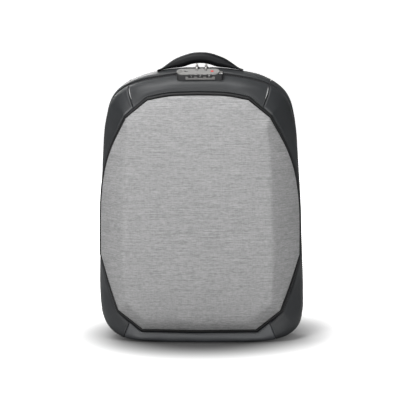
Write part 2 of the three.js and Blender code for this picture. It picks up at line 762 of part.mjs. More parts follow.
function bodyPieces() {
  const clothPatch = (from, to, first, last, steps) =>
    patch({ from, to, first, last, steps, wall: CLOTH });
  const { right, left } = SEAM;
  const fromLeft = (row) => left.base(row) - TURN;
  const tape = patch({
    from: () => bothSides(ZIP_END - ZIP_TAPER)[0],
    to: () => bothSides(ZIP_END - ZIP_TAPER)[1],
    first: (angle) => rowFrom(angle, ZIP, -ZIP_OPENING / 2 - ZIP_TUCK),
    last: (angle) => rowFrom(angle, ZIP, ZIP_OPENING / 2 + ZIP_TUCK),
    steps: 3,
    lift: -CLOTH - TAPE_GAP,
    wall: TAPE_WALL,
  });
  const chain = patch({
    from: () => bothSides(ZIP_END)[0],
    to: () => bothSides(ZIP_END)[1],
    first: (angle) => rowFrom(angle, ZIP, -CHAIN_WIDTH / 2),
    last: (angle) => rowFrom(angle, ZIP, CHAIN_WIDTH / 2),
    steps: 1,
    lift: CHAIN_TOP,
    wall: CHAIN_WALL,
  });
  return [
    piece("front_shell", frontShell(), HEATHER_CLOTH),
    piece("shell_piping", pipingRound((a) => towardShoulder(a, PIPING_RADIUS + SEAM_GAP)), BLACK_TRIM),
    piece("front_top_panel", clothPatch(right.top, left.top, atHem, zipFront, 6), COATED_CLOTH),
    piece("front_side_panel_right", clothPatch(right.base, right.top, atHem, zipFront, 4), COATED_CLOTH),
    piece("front_side_panel_left", clothPatch(left.top, left.base, atHem, zipFront, 4), COATED_CLOTH),
    piece("base_panel", clothPatch(fromLeft, right.base, atHem, atBackEdge, 10), COATED_CLOTH),
    piece("zip_tape", tape, BLACK_TRIM),
    piece("zip_chain", chain, BLACK_TRIM),
    piece("rear_top_panel", clothPatch(right.top, left.top, zipRear, atBackEdge, 6), COATED_CLOTH),
    piece("rear_side_panel_right", clothPatch(right.base, right.top, zipRear, atBackEdge, 5), COATED_CLOTH),
    piece("rear_side_panel_left", clothPatch(left.top, left.base, zipRear, atBackEdge, 5), COATED_CLOTH),
    piece("back_piping", pipingRound(backPipingCentre), BLACK_TRIM),
    piece("back_panel", backPanel(), PADDED_MESH),
    piece("back_pad_left", backPad(SIDES.left), PADDED_MESH),
    piece("back_pad_right", backPad(SIDES.right), PADDED_MESH),
  ];
}

// The handle

function topAt(x) {
  let angle = QUARTER;
  for (let turn = 0; turn < 6; turn++) angle = Math.atan2(outlineAt(angle).z - PIVOT.z, x);
  const heights = Array.from({ length: 15 }, (_, k) => skin(angle, ZIP + k / 7).z);
  return Math.max(...heights);
}

function handleGrip() {
  const half = finerRows(HANDLE_ROWS, 11);
  const left = half.slice(1).reverse();
  const rows = [...left.map((row) => ({ ...row, across: -row.across })), ...half];
  const centres = rows.map(({ across, clear, thick }) => {
    const x = (across * HANDLE_SPAN) / 2;
    const seat = topAt(x) + FIT_GAP + Math.max(clear, 0) * HANDLE_RISE;
    return new THREE.Vector3(x, HANDLE_BACK, seat + (thick * HANDLE_THICK) / 2);
  });
  const size = (i) => [(rows[i].wide * HANDLE_WIDTH) / 2, (rows[i].thick * HANDLE_THICK) / 2];
  return sweep(centres, SOFT_OVAL, size, () => new THREE.Vector3(0, 1, 0));
}

// Shoulder straps, adjusters and webbing

function strapCentres(rows, sign) {
  return rows.map(({ across, behind, up, thick }) => {
    const y = BACK_FACE + FIT_GAP + (thick * STRAP_THICK) / 2 + behind * STRAP_BOW;
    return new THREE.Vector3(sign * across * HALF_WIDTH, y, up * BODY_HEIGHT);
  });
}

function strapPieces(name) {
  const sign = SIDES[name];
  const rows = finerRows(STRAP_ROWS, 17);
  const centres = strapCentres(rows, sign);
  const halfThick = (i) => (rows[i].thick * STRAP_THICK) / 2;
  const size = (i) => [(rows[i].wide * STRAP_WIDTH) / 2, halfThick(i)];
  const end = centres.length - 1;
  const axes = axesAt(centres, end, ACROSS);
  const beyond = ([past, out]) =>
    centres[end].clone().addScaledVector(axes.along, past).addScaledVector(axes.up, out);

  const buckleMiddle = (BUCKLE.start + BUCKLE.end) / 2;
  const outline = roundedShape(BUCKLE_WIDTH, BUCKLE.end - BUCKLE.start, BUCKLE_CORNER);
  for (const { from, to } of BUCKLE.slots) {
    const middle = (from + to) / 2 - buckleMiddle;
    outline.holes.push(rectanglePath(WEBBING_WIDTH + SLOT_SLACK, to - from, 0, middle));
  }
  const buckleFrame = new THREE.Matrix4()
    .makeBasis(axes.side, axes.along, axes.up)
    .setPosition(beyond([buckleMiddle, -BUCKLE_WALL / 2]));
  const buckle = extrude(outline, BUCKLE_WALL, 2).applyMatrix4(buckleFrame);

  const ply = FIT_GAP + WEBBING_WALL / 2;
  const onStrap = [end - 2, end - 1, end].map((i) => {
    const up = axesAt(centres, i, ACROSS).up;
    return centres[i].clone().addScaledVector(up, halfThick(i) + ply);
  });
  const webbingBand = (centres) => band(centres, WEBBING_WIDTH, WEBBING_WALL, axes.side);
  const loop = webbingBand([...onStrap, ...LOOP_PATH.map(beyond)]);

  const anchorX = sign * ANCHOR_ACROSS * HALF_WIDTH;
  const anchorFace = BACK_FACE + FIT_GAP + ANCHOR_WALL;
  const anchorTop = ANCHOR_UP * BODY_HEIGHT;
  const sewn = (lower) => new THREE.Vector3(anchorX, anchorFace + ply, anchorTop - lower);
  const loadTop = beyond(LOAD_START);
  const load = new THREE.CubicBezierCurve3(
    sewn(6),
    sewn(6).add(new THREE.Vector3(0, 0.5, 18)),
    loadTop.clone().addScaledVector(axes.along, 16),
    loadTop,
  ).getPoints(6);
  const tailTop = beyond(WEBBING_PATH.at(-1));
  const tail = [0.12, 0.3, 0.6, 1].map((share) => {
    const fall = new THREE.Vector3(0, 3.5 * share ** 0.5, -TAIL_LENGTH * share);
    return tailTop.clone().add(fall);
  });
  const webbing = [sewn(ANCHOR_HEIGHT - 5), ...load, ...WEBBING_PATH.map(beyond), ...tail];

  const halfAnchor = ANCHOR_WIDTH / 2;
  const anchor = new THREE.Shape()
    .moveTo(-ANCHOR_TAPER * halfAnchor, 0)
    .lineTo(ANCHOR_TAPER * halfAnchor, 0)
    .lineTo(halfAnchor, -ANCHOR_HEIGHT)
    .lineTo(-halfAnchor, -ANCHOR_HEIGHT);
  const anchorTab = extrude(anchor, ANCHOR_WALL).rotateX(QUARTER).translate(anchorX, anchorFace, anchorTop);
  return [
    piece(`shoulder_strap_${name}`, sweep(centres, SOFT_PAD, size), PADDED_MESH),
    piece(`strap_adjuster_${name}`, buckle, BLACK_PLASTIC),
    piece(`adjuster_loop_${name}`, loop, BLACK_WEBBING),
    piece(`webbing_${name}`, webbingBand(webbing), BLACK_WEBBING),
    piece(`anchor_tab_${name}`, anchorTab, COATED_CLOTH),
  ];
}

// The lock

const ZIP_TOP = skin(QUARTER, ZIP);
const LOCK_FRAME = new THREE.Matrix4()
  .makeRotationX(LOCK_TILT)
  .setPosition(0, ZIP_TOP.y - LOCK_FORWARD, ZIP_TOP.z + LOCK_RISE);
const LOCK_TOP = -PLATE_WALL - FIT_GAP;
const DIAL_Y = -LOCK_DEPTH / 2 + DIAL_RADIUS - DIAL_PROUD;
const DIAL_SHIFTS = [-1, 0, 1].map((n) => DIAL_SHIFT + n * DIAL_PITCH);
const BUTTON_END = LOCK_SHIFT + LOCK_LENGTH / 2 - 0.6;

const dialPocket = (x) =>
  rodAlongX(DIAL_RADIUS + RUNNING_GAP, DIAL_WIDTH + 2 * RUNNING_GAP, 20).translate(x, DIAL_Y, -DIAL_DROP);

function lockBase() {
  const body = extrude(roundedShape(LOCK_LENGTH, LOCK_DEPTH, LOCK_CORNER), LOCK_HEIGHT)
    .translate(LOCK_SHIFT, 0, LOCK_TOP - LOCK_HEIGHT);
  const keyPocket = rodAlongZ(KEY_RADIUS + RUNNING_GAP, LOCK_TOP - KEY_LENGTH, LOCK_TOP + 1, 16)
    .translate(KEY_SHIFT, 0, 0);
  const buttonRoom = BUTTON_LENGTH + BUTTON_TRAVEL + 1;
  const buttonPocket = block(
    buttonRoom,
    BUTTON_DEPTH + 2 * RUNNING_GAP,
    BUTTON_HEIGHT + 2 * RUNNING_GAP,
    BUTTON_END - BUTTON_LENGTH - BUTTON_TRAVEL - FIT_GAP + buttonRoom / 2,
    0,
    LOCK_TOP - BUTTON_HEIGHT / 2,
  );
  const axle = rodAlongX(AXLE_RADIUS, 3 * DIAL_PITCH, 10).translate(DIAL_SHIFT, DIAL_Y, -DIAL_DROP);
  const opened = subtract(body, ...DIAL_SHIFTS.map(dialPocket), keyPocket, buttonPocket);
  const whole = unite(opened, axle).applyMatrix4(LOCK_FRAME);
  const seat = patch({
    from: () => degToRad(LOCK_SEAT[0]),
    to: () => degToRad(LOCK_SEAT[1]),
    first: atHem,
    last: () => CROWN,
    steps: 12,
    lift: FIT_GAP,
    wall: 20,
  });
  return subtract(whole, seat);
}

function lockPlate() {
  const outline = roundedShape(PLATE_LENGTH, PLATE_DEPTH, PLATE_DEPTH / 2 - 0.1);
  const plate = extrude(outline, PLATE_WALL, 5).translate(0, 0, -PLATE_WALL);
  const cuff = rodAlongZ(CUFF_RADIUS, -PLATE_WALL / 2, CUFF_RISE, 16).translate(KEY_SHIFT, 0, 0);
  const keyHole = rodAlongZ(KEY_RADIUS + RUNNING_GAP, -5, 5, 16).translate(KEY_SHIFT, 0, 0);
  const slot = extrude(roundedShape(SLOT_LENGTH, SLOT_WIDTH, SLOT_WIDTH / 2 - 0.05), 10, 3)
    .translate(SLOT_SHIFT, 0, -5);
  const dotSeat = rodAlongZ(DOT_RADIUS + FIT_GAP, -0.8, 5, 16).translate(DOT_SHIFT, 0, 0);
  return subtract(unite(plate, cuff), keyHole, slot, dotSeat, ...DIAL_SHIFTS.map(dialPocket));
}

// A comb in front of the dials: a bar below them and a post at each side of them.
function dialFrame() {
  const face = extrude(roundedShape(FRAME_LENGTH, FRAME_HEIGHT, 1), FRAME_WALL, 2);
  const windows = DIAL_SHIFTS.map((x) =>
    block(DIAL_WIDTH + 1, FRAME_HEIGHT, 4 * FRAME_WALL, x - DIAL_SHIFT, FRAME_BAR, 0),
  );
  return subtract(face, ...windows)
    .rotateX(QUARTER)
    .translate(DIAL_SHIFT, -LOCK_DEPTH / 2 - FIT_GAP, LOCK_TOP - FRAME_DROP - FRAME_HEIGHT / 2);
}

function dial(x) {
  const outline = new THREE.Shape(
    Array.from({ length: 30 }, (_, k) => {
      const radius = DIAL_RADIUS - (k % 3 === 0 ? DIAL_NOTCH : 0);
      return new THREE.Vector2(radius, 0).rotateAround(new THREE.Vector2(), (TURN * k) / 30);
    }),
  );
  const bore = Array.from({ length: 10 }, (_, k) =>
    new THREE.Vector2(AXLE_RADIUS + RUNNING_GAP, 0).rotateAround(new THREE.Vector2(), (-TURN * k) / 10),
  );
  outline.holes.push(new THREE.Path(bore));
  return extrude(outline, DIAL_WIDTH)
    .rotateY(QUARTER)
    .translate(x - DIAL_WIDTH / 2, DIAL_Y, -DIAL_DROP);
}

function keyPlug() {
  const plug = rodAlongZ(KEY_RADIUS, LOCK_TOP - KEY_LENGTH + FIT_GAP, 0.35, 16);
  const keyway = block(KEYWAY_WIDTH, KEYWAY_LENGTH, 6, 0, 0, 0.35);
  return subtract(plug, keyway).translate(KEY_SHIFT, 0, 0);
}

function releaseButton() {
  const middle = BUTTON_END - BUTTON_LENGTH / 2;
  return block(BUTTON_LENGTH, BUTTON_DEPTH, BUTTON_HEIGHT, middle, 0, LOCK_TOP - BUTTON_HEIGHT / 2);
}

// The frame of a slider on the zip chain: +X along the zip, +Z away from the bag.
function sliderFrame(x) {
  let angle = QUARTER;
  for (let turn = 0; turn < 6; turn++) angle = Math.atan2(skin(angle, ZIP).z - PIVOT.z, x);
  const up = skinNormal(angle, ZIP);
  const along = skin(angle - 0.01, ZIP).sub(skin(angle + 0.01, ZIP)).normalize();
  const across = new THREE.Vector3().crossVectors(up, along).normalize();
  return new THREE.Matrix4()
    .makeBasis(along, across, up)
    .setPosition(onSkin(angle, ZIP, CHAIN_TOP + SLIDER_LIFT));
}

function sliderPieces(name) {
  const x = SLIDER_SHIFTS[name];
  const frame = sliderFrame(x);
  const body = extrude(roundedShape(SLIDER_LENGTH, SLIDER_WIDTH, 2.4), SLIDER_HEIGHT, 3);
  const bridge = roundedShape(BRIDGE_LENGTH, 2 * BRIDGE_HEIGHT, 1.6);
  const window = [BRIDGE_LENGTH - 2 * BRIDGE_WALL, 2 * (BRIDGE_HEIGHT - BRIDGE_WALL)];
  bridge.holes.push(rectanglePath(...window, 0, 0));
  const arch = extrude(bridge, BRIDGE_DEPTH, 2)
    .rotateX(QUARTER)
    .translate(0, BRIDGE_DEPTH / 2, SLIDER_HEIGHT);
  const below = block(20, 20, 10, 0, 0, SLIDER_HEIGHT - 5.2);
  const slider = unite(body, subtract(arch, below)).applyMatrix4(frame);
  const path = [
    ...PULL_AT_SLIDER.map(([y, z]) => new THREE.Vector3(0, y, z).applyMatrix4(frame)),
    ...PULL_AT_LOCK.map(([y, z]) => new THREE.Vector3(x, y, z).applyMatrix4(LOCK_FRAME)),
  ];
  return [
    piece(`slider_${name}`, slider, BLACK_TRIM),
    piece(`pull_${name}`, band(path, PULL_WIDTH, PULL_WALL), BRIGHT_METAL),
  ];
}

function lockPieces() {
  const dot = rodAlongZ(DOT_RADIUS, -0.5, 0.25, 12).translate(DOT_SHIFT, 0, 0);
  const flat = [
    piece("lock_plate", lockPlate(), GUNMETAL),
    piece("dial_frame", dialFrame(), BRIGHT_METAL),
    ...DIAL_SHIFTS.map((x, n) => piece(`dial_${n + 1}`, dial(x), BLACK_PLASTIC)),
    piece("release_button", releaseButton(), BRIGHT_METAL),
    piece("key_plug", keyPlug(), BRIGHT_METAL),
    piece("indicator_dot", dot, RED_INLAY),
  ];
  for (const part of flat) part.geometry.applyMatrix4(LOCK_FRAME);
  return [piece("lock_base", lockBase(), BLACK_PLASTIC), ...flat];
}

// The whole backpack, with the middle of its base at the origin

function backpack() {
  const bag = new THREE.Group();
  bag.name = "anti_theft_backpack";
  bag.add(
    ...bodyPieces(),
    piece("handle_grip", handleGrip(), BLACK_TRIM),
    ...strapPieces("left"),
    ...strapPieces("right"),
    ...lockPieces(),
    ...sliderPieces("left"),
    ...sliderPieces("right"),
  );
  const box = new THREE.Box3().setFromObject(bag);
  const middle = box.getCenter(new THREE.Vector3());
  for (const part of bag.children) part.geometry.translate(-middle.x, -middle.y, -box.min.z);
  return bag;
}

export default backpack();
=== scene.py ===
"""The looks of a clamshell backpack with a moulded front shell and a combination lock.

Sizes in the tables and functions are millimetres; pieces are made in metres, in the frame's place.
"""

import math

import bpy
import numpy as np
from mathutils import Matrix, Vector


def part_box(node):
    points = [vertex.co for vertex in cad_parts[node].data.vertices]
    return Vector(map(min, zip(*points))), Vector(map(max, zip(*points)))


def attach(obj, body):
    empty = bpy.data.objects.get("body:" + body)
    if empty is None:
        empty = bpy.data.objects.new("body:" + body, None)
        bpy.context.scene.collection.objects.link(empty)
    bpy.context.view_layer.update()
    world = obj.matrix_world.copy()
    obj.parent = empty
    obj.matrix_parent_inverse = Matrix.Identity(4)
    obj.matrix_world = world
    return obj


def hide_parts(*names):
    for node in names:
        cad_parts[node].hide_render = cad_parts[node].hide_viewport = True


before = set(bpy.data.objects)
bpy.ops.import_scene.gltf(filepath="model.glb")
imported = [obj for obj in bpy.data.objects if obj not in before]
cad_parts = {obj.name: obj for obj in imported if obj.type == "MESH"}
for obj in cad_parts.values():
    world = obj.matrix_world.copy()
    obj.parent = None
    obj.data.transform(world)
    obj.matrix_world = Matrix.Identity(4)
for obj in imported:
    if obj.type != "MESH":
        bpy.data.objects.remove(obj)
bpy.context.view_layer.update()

bl_info = {
    "name": "Backpack Looks",
    "version": (1, 0, 0),
    "blender": (4, 5, 0),
    "location": "3D View > Sidebar > Backpack",
    "description": "Cloth, trim, padding and lock of a backpack, built on its solid frame",
    "category": "Object",
}

MM = 0.001

# Body of the bag, as its solids are drawn but for its thicker piping: a black cord, widened so that it also
# fills the band of shade beside the shell as painted shade
BODY_WIDTH = 318.0
BODY_HEIGHT = 422.0
FRONT_DEPTH = 74.0
REAR_DEPTH = 58.0
PIVOT_Z = 0.47 * BODY_HEIGHT
HALF_WIDTH = BODY_WIDTH / 2
CLOTH = 2.4
SEAM_GAP = 0.4
SHELL_RIM = 6.0
SHELL_EDGE_RADIUS = 1.6
SHELL_LIP = 2.4
PIPING_RADIUS = 2.5
ZIP_OPENING = 9.0
TAPE_GAP = 0.7
TAPE_HALF_WIDTH = 9.0
TAPE_WALL = 0.8
CHAIN_WIDTH = 5.4
BACK_FACE = REAR_DEPTH + 1
BACK_WALL = 7.0
BACK_BEVEL = 12.0
FIT_GAP = 0.3
PAD = {"width": 92.0, "thick": 10.0, "channel": 40.0, "bottom": 78.0, "top": 362.0, "corner": 28.0}
STRAP_WIDTH = 62.0
STRAP_THICK = 12.0
STRAP_BOW = 36.0
BINDING_HALF_WIDTH = 1.5
STRAP_STITCH_INSET = 6.5
WEBBING_WIDTH = 25.0
WEBBING_WALL = 1.6
TAIL_LENGTH = 84.0
ANCHOR = {"width": 33.0, "height": 34.0, "wall": 2.0, "taper": 0.9, "across": 0.71, "up": 0.155}
HANDLE_SPAN = 134.0
HANDLE_RISE = 5.6
HANDLE_WIDTH = 27.0
HANDLE_THICK = 17.4
HANDLE_BACK = 16.0
LOCK_TILT = math.radians(27)
LOCK_FORWARD = 16.6
LOCK_RISE = 2.4
DIAL_RADIUS = 2.8
DIAL_WIDTH = 8.4
AXLE_BORE = 1.25
DIGIT_SHOWN = math.radians(162)
DIGIT_SIZE = 1.6
DIGIT_WALL = 0.02
DIGIT_SINK = 0.11
SLIDER_SHIFTS = {"left": -2.3, "right": 11.6}
SLIDER_SEAT = -CLOTH - TAPE_GAP + 2.4
PULL_WIDTH = 3.6
PULL_WALL = 1.2

# Directions round the bag from its pivot, in degrees from +X. A seam leans from the hem to the zip.
TOP_SEAM = (58.5, 61.5)
BASE_SEAM = (-57.2, -60.0)
ZIP_END = -42.0
ZIP_TAPER = 5.0
BASE_BLEND = (-64.0, -32.0)
TOP_BLEND = (38.0, 74.0)
LEAN_REACH = 0.35
SEAM_TUCK = 5.0
TURN = 2 * math.pi

# up, right, left: the front outline from the base centre to the top centre, with softly bowed base corners
OUTLINE = (
    (0, 0, 0), (0.001, 0.3, 0.28), (0.004, 0.5, 0.48), (0.01, 0.69, 0.66), (0.026, 0.85, 0.8),
    (0.056, 0.952, 0.9), (0.105, 0.995, 0.965), (0.18, 1.003, 0.995), (0.27, 0.998, 0.996),
    (0.4, 0.986, 0.986), (0.52, 0.977, 0.977), (0.63, 0.96, 0.96), (0.7, 0.949, 0.949),
    (0.775, 0.934, 0.934), (0.83, 0.914, 0.914), (0.872, 0.889, 0.889), (0.905, 0.845, 0.845),
    (0.934, 0.77, 0.77), (0.957, 0.67, 0.67), (0.975, 0.55, 0.55), (0.99, 0.36, 0.36),
    (0.998, 0.18, 0.18), (1, 0, 0),
)

# across, up, depth, corner: the visible edge of the shell and the fold of its flat face
SHELL_EDGE = (
    (0, 0.048, 0.81, 0), (0.55, 0.05, 0.77, 1), (0.785, 0.12, 0.75, 1), (0.882, 0.215, 0.53, 0),
    (0.97, 0.315, 0.31, 1), (0.972, 0.41, 0.26, 0), (0.962, 0.52, 0.27, 0), (0.92, 0.625, 0.37, 0),
    (0.845, 0.71, 0.51, 0), (0.692, 0.822, 0.71, 1), (0.485, 0.885, 0.66, 1), (0.28, 0.899, 0.65, 0),
    (0, 0.903, 0.65, 0),
)
SHELL_CREASE = (
    (0, 0.085, 0.95, 0), (0.5, 0.09, 0.94, 1), (0.7, 0.15, 0.93, 1), (0.72, 0.3, 0.955, 0),
    (0.712, 0.5, 0.94, 0), (0.695, 0.68, 0.89, 0), (0.665, 0.79, 0.84, 1), (0.46, 0.853, 0.79, 1),
    (0, 0.865, 0.78, 0),
)

# depth scale, then inset and depth at the base, sides and top: the cloth behind the shell
BODY_ROWS = (
    (FRONT_DEPTH, (0.011, -0.69), (0.008, -0.1), (0.28, -0.5)),
    (FRONT_DEPTH, (0, 0.08), (0, 0.08), (0.095, -0.216)),
    (REAR_DEPTH, (0, 0.45), (0, 0.45), (0, 0.24)),
    (REAR_DEPTH, (0, 0.76), (0.052, 0.76), (0.086, 0.76)),
    (REAR_DEPTH, (0.22, 0.97), (0.24, 0.97), (0.31, 0.97)),
)

# Rows of the cloth skin, which starts at the shell's piping
ZIP = 2
BACK_EDGE = 5

# shift, size, share: the slow waves in a panel's cloth
WAVES = ((0, 34, 0.6), (50, 17, 0.28))
PUCKER_SIZE = 7.5
PUCKER_REACH = 7.0

# place, width, height: ridges and hollows across a panel, measured from its edges
STITCH_HOLLOW = (3.1, 1.1, 0.35)
SEAM_SWELL = (2.6, 1.5, 0.3)
HEM_BEAD = (6.5, 1.9, 1.0)
HEM_HOLLOW = (9.6, 1.6, 1.1)
TOP_BEAD_SHARE = 0.4
BEAD_SHARE = 0.1

# Radii of a panel's turned edges at the hem, at the zip or back, and at the seams
TOP_ROLLS = (2.6, 1.8, 1.3)
SIDE_ROLLS = (4.5, 1.8, 1.3)
ROLLS = (2.2, 1.6, 0.5)

# Lines of stitches inside a panel's edges
EDGE_STITCHES = {"hem": (1.9, "first"), "far": (1.9, "last")}
SEAM_STITCHES = {"start": (2.0, "start"), "end": (2.0, "end")}

# Pinched folds: their place inside the upper seams and their part of the seams' length; their light cloth is
# a painted highlight
PINCH_INSET = 1.7
PINCH_SPAN = (0.2, 0.82)
PINCH_HALF_WIDTH = 0.85
PINCH_HALF_THICK = 0.95

# along, up: outline of a zip tooth; reach, size: its sections from the middle of the zip outward
TOOTH_OUTLINE = (
    (0.5, 0), (0.62, 0.45), (0.45, 1.0), (0, 1.25), (-0.45, 1.0), (-0.62, 0.45), (-0.5, 0),
)
TOOTH_SECTIONS = ((-0.5, 0.8), (0.5, 1.0), (2.0, 1.0), (CHAIN_WIDTH / 2, 0.7))
TOOTH_NARROWING = 0.66
TOOTH_OFFSET = 0.45

# inset, rise: a back pad's turned edge from its seat to the start of its crown
PAD_EDGE = (
    (0.6, 0), (0, 0.1), (-0.2, 0.25), (0.2, 0.42), (1, 0.58), (2.4, 0.74), (4.4, 0.87), (7, 0.95),
)
GROOVE_WIDTH = 5.5
GROOVE_DEPTH = 4.4

# across, behind, up, wide, thick: a shoulder strap from its root to its buckle end
STRAP_ROWS = (
    (0.25, 0, 0.925, 0.9, 0.55), (0.26, 0.14, 0.9, 0.92, 0.8), (0.29, 0.5, 0.855, 0.96, 1),
    (0.35, 0.82, 0.78, 1, 1), (0.42, 0.97, 0.69, 1, 1), (0.485, 1, 0.59, 0.96, 1),
    (0.53, 0.95, 0.49, 0.88, 1), (0.56, 0.86, 0.4, 0.78, 0.9), (0.58, 0.76, 0.335, 0.62, 0.6),
)

# across, clear, wide, thick: half of the handle from its middle
HANDLE_ROWS = (
    (0, 1, 1, 1), (0.14, 0.9, 1, 1), (0.27, 0.58, 1, 1), (0.4, 0.15, 1, 0.99), (0.52, 0, 1, 0.89),
    (0.66, 0, 0.98, 0.64), (0.8, 0, 0.95, 0.35), (0.9, 0, 0.93, 0.17), (1, 0, 0.9, 0.1),
)

# along, thickness, lift: one stitch from end to end
STITCH_PROFILE = ((-0.5, 0.25, -0.7), (-0.32, 1, 0.3), (0, 1.1, 0.55), (0.32, 1, 0.3), (0.5, 0.25, -0.7))

# Side views past the end of the strap and out from its middle plane
LOOP_PATH = (
    (7, 3.2), (12.4, 3.2), (13.5, 2.1), (13.6, 0), (13.5, -2.1), (12.4, -3.2), (7, -3.2), (0.8, -3.1),
)
WEBBING_PATH = (
    (22, -5.1), (18.6, -5), (16.9, -4.2), (16, -2.6), (15.8, 0), (15.6, 2.2), (16.6, 3.3), (18.4, 3.4),
    (19.8, 3.4), (21.4, 3.2), (22.4, 2.2), (22.6, 0.4), (22.8, -1.2), (23.8, -2.6), (25.8, -3.2), (33, -3.2),
)
LOAD_START = (34, -5.2)

# Side view of a pull: through the slider's bridge, then over the lock's plate
PULL_AT_SLIDER = (
    (-2.2, 6.8), (-2.1, 5.4), (-1.2, 4.6), (0, 4.5), (1.2, 4.6), (2.2, 5.5), (2.4, 8.2), (1.9, 11.4),
)
PULL_AT_LOCK = ((13.2, 5.6), (11.2, 5.9), (9.4, 4), (8, 2), (6.4, 1.15), (2.4, 1.1))

# from the side, inset, notch: half of a dial's section, from its bore to its middle
DIAL_PROFILE = (
    (0, 0, 0), (0, 0.55, 0), (0.12, 0.16, 0.6), (0.45, 0, 1), (0.9, 0, 1), (1.1, 0.12, 1),
)
NOTCH_WIDTH = 0.11
NOTCH_DEPTH = 0.42

# solid, finish, edge radius: the frame's solids that show
SOLIDS = (
    ("lock_base", "plastic", 0.45), ("lock_plate", "silver", 0.3), ("dial_frame", "gunmetal", 0.2),
    ("release_button", "bright", 0.5), ("key_plug", "bright", 0.15), ("indicator_dot", "inlay", 0.15),
    ("slider_left", "lacquer", 0.4), ("slider_right", "lacquer", 0.4),
    ("strap_adjuster_left", "plastic", 0.8), ("strap_adjuster_right", "plastic", 0.8),
)

# inset, height: an anchor tab's edge over its seat; the corners of its stitches from its top middle
TAB_EDGE = ((0.3, 0), (0, 0.5), (0, 1.4), (0.5, 1.9), (2.6, 2.0), (8, 1.8))
TAB_STITCHES = ((-13, -3), (13, -3), (13, -31), (-13, -31), (-13, -3), (13, -31))

# place, width and height in metres, and the setting of its power
LIGHTS = {
    "key": ((-0.75, -2.05, 2.35), (1.0, 1.0), "key_power"),
    "overhead": ((-0.3, -0.5, 2.1), (1.5, 0.9), "top_power"),
    "low": ((0.4, -3.0, 0.25), (1.6, 0.4), "low_power"),
    "rear": ((-0.9, 2.6, 1.5), (1.6, 1.2), "rear_power"),
}
LIGHT_TARGET = (0, 0, 0.22)

# Backdrop in metres: a floor that sweeps up into a wall behind the bag
FLOOR_FRONT = -7
FLOOR_HALF_WIDTH = 9
SWEEP_START = 3.2
SWEEP_RADIUS = 1.6
WALL_HEIGHT = 9


# Curves and surfaces of the bag

def smooth_step(value, low, high):
    t = np.clip((value - low) / (high - low), 0, 1)
    return t * t * (3 - 2 * t)


def hump(distance, place, width, height=1.0):
    """A rounded ridge across a distance."""
    return height * np.exp(-(((distance - place) / width) ** 2))


def points_at(want, places, points):
    """Points read between known ones at wanted places along them."""
    return np.stack([np.interp(want, places, points[:, n]) for n in range(3)], axis=-1)


def catmull(points, u):
    """A smooth curve through points (n, k, 3), read at u (n) from 0 to 1."""
    count = points.shape[1]
    place = np.clip(u, 0, 1) * (count - 1)
    first = np.minimum(place.astype(int), count - 2)
    t = (place - first)[:, None]
    rows = np.arange(len(points))
    ends = np.concatenate(
        [2 * points[:, :1] - points[:, 1:2], points, 2 * points[:, -1:] - points[:, -2:-1]], axis=1
    )
    a, b, c, d = (ends[rows, first + n] for n in range(4))
    gap = [np.sqrt(np.linalg.norm(q - p, axis=1))[:, None] for p, q in ((a, b), (b, c), (c, d))]
    gap = [np.where(g < 1e-2, gap[1], g) for g in gap]
    leaving = ((b - a) / gap[0] - (c - a) / (gap[0] + gap[1]) + (c - b) / gap[1]) * gap[1]
    arriving = ((c - b) / gap[1] - (d - b) / (gap[1] + gap[2]) + (d - c) / gap[2]) * gap[1]
    square = -3 * b + 3 * c - 2 * leaving - arriving
    cube = 2 * b - 2 * c + leaving + arriving
    return b + leaving * t + square * t**2 + cube * t**3


def open_curve(points, count):
    """count points of the smooth curve through one row of points."""
    points = np.asarray(points, float)
    u = np.linspace(0, 1, count)
    return catmull(np.broadcast_to(points, (count,) + points.shape).copy(), u)


def closed_curve(points, count):
    """A smooth closed curve that starts and ends at its first point."""
    points = np.asarray(points, float)
    wrapped = np.concatenate([points[-3:], points, points[:4]])
    total = len(wrapped) - 1
    u = np.linspace(3 / total, (3 + len(points)) / total, count)
    return catmull(np.broadcast_to(wrapped, (count,) + wrapped.shape).copy(), u)


def direction_of(points):
    angle = np.arctan2(points[:, 2] - PIVOT_Z, points[:, 0])
    return np.where(angle < -math.pi / 2, angle + TURN, angle)


def loop_reader(points):
    """A function from a direction round the bag to the loop's point there."""
    angle = direction_of(points)
    order = np.argsort(angle)
    angle, points = angle[order], points[order]
    angle = np.concatenate([angle[-9:] - TURN, angle, angle[:9] + TURN])
    points = np.concatenate([points[-9:], points, points[:9]])

    def read(turned):
        return points_at(np.mod(turned + math.pi / 2, TURN) - math.pi / 2, angle, points)

    return read


def outline_loop():
    right = [(r * HALF_WIDTH, 0, up * BODY_HEIGHT) for up, r, _ in OUTLINE]
    left = [(-x * HALF_WIDTH, 0, up * BODY_HEIGHT) for up, _, x in OUTLINE[1:-1]]
    return closed_curve(right + left[::-1], 1600)[:-1]


def shell_loop(rows):
    stretches = [[]]
    for across, up, depth, corner in rows:
        point = (across * HALF_WIDTH, -depth * FRONT_DEPTH, up * BODY_HEIGHT)
        stretches[-1].append(point)
        if corner:
            stretches.append([point])
    half = np.concatenate([open_curve(s, 60)[1:] for s in stretches])
    return np.concatenate([half, half[:-1] * (-1, 1, 1)])


outline_at = loop_reader(outline_loop())
shell_edge_at = loop_reader(shell_loop(SHELL_EDGE))
shell_crease_at = loop_reader(shell_loop(SHELL_CREASE))


def round_bag(count):
    """Even directions round the bag, from straight down."""
    return np.linspace(-math.pi / 2, TURN - math.pi / 2, count, endpoint=False)


def radial(angle):
    return np.stack([np.cos(angle), np.zeros_like(angle), np.sin(angle)], axis=-1)


def height_of(angle):
    return np.degrees(np.arcsin(np.sin(angle)))


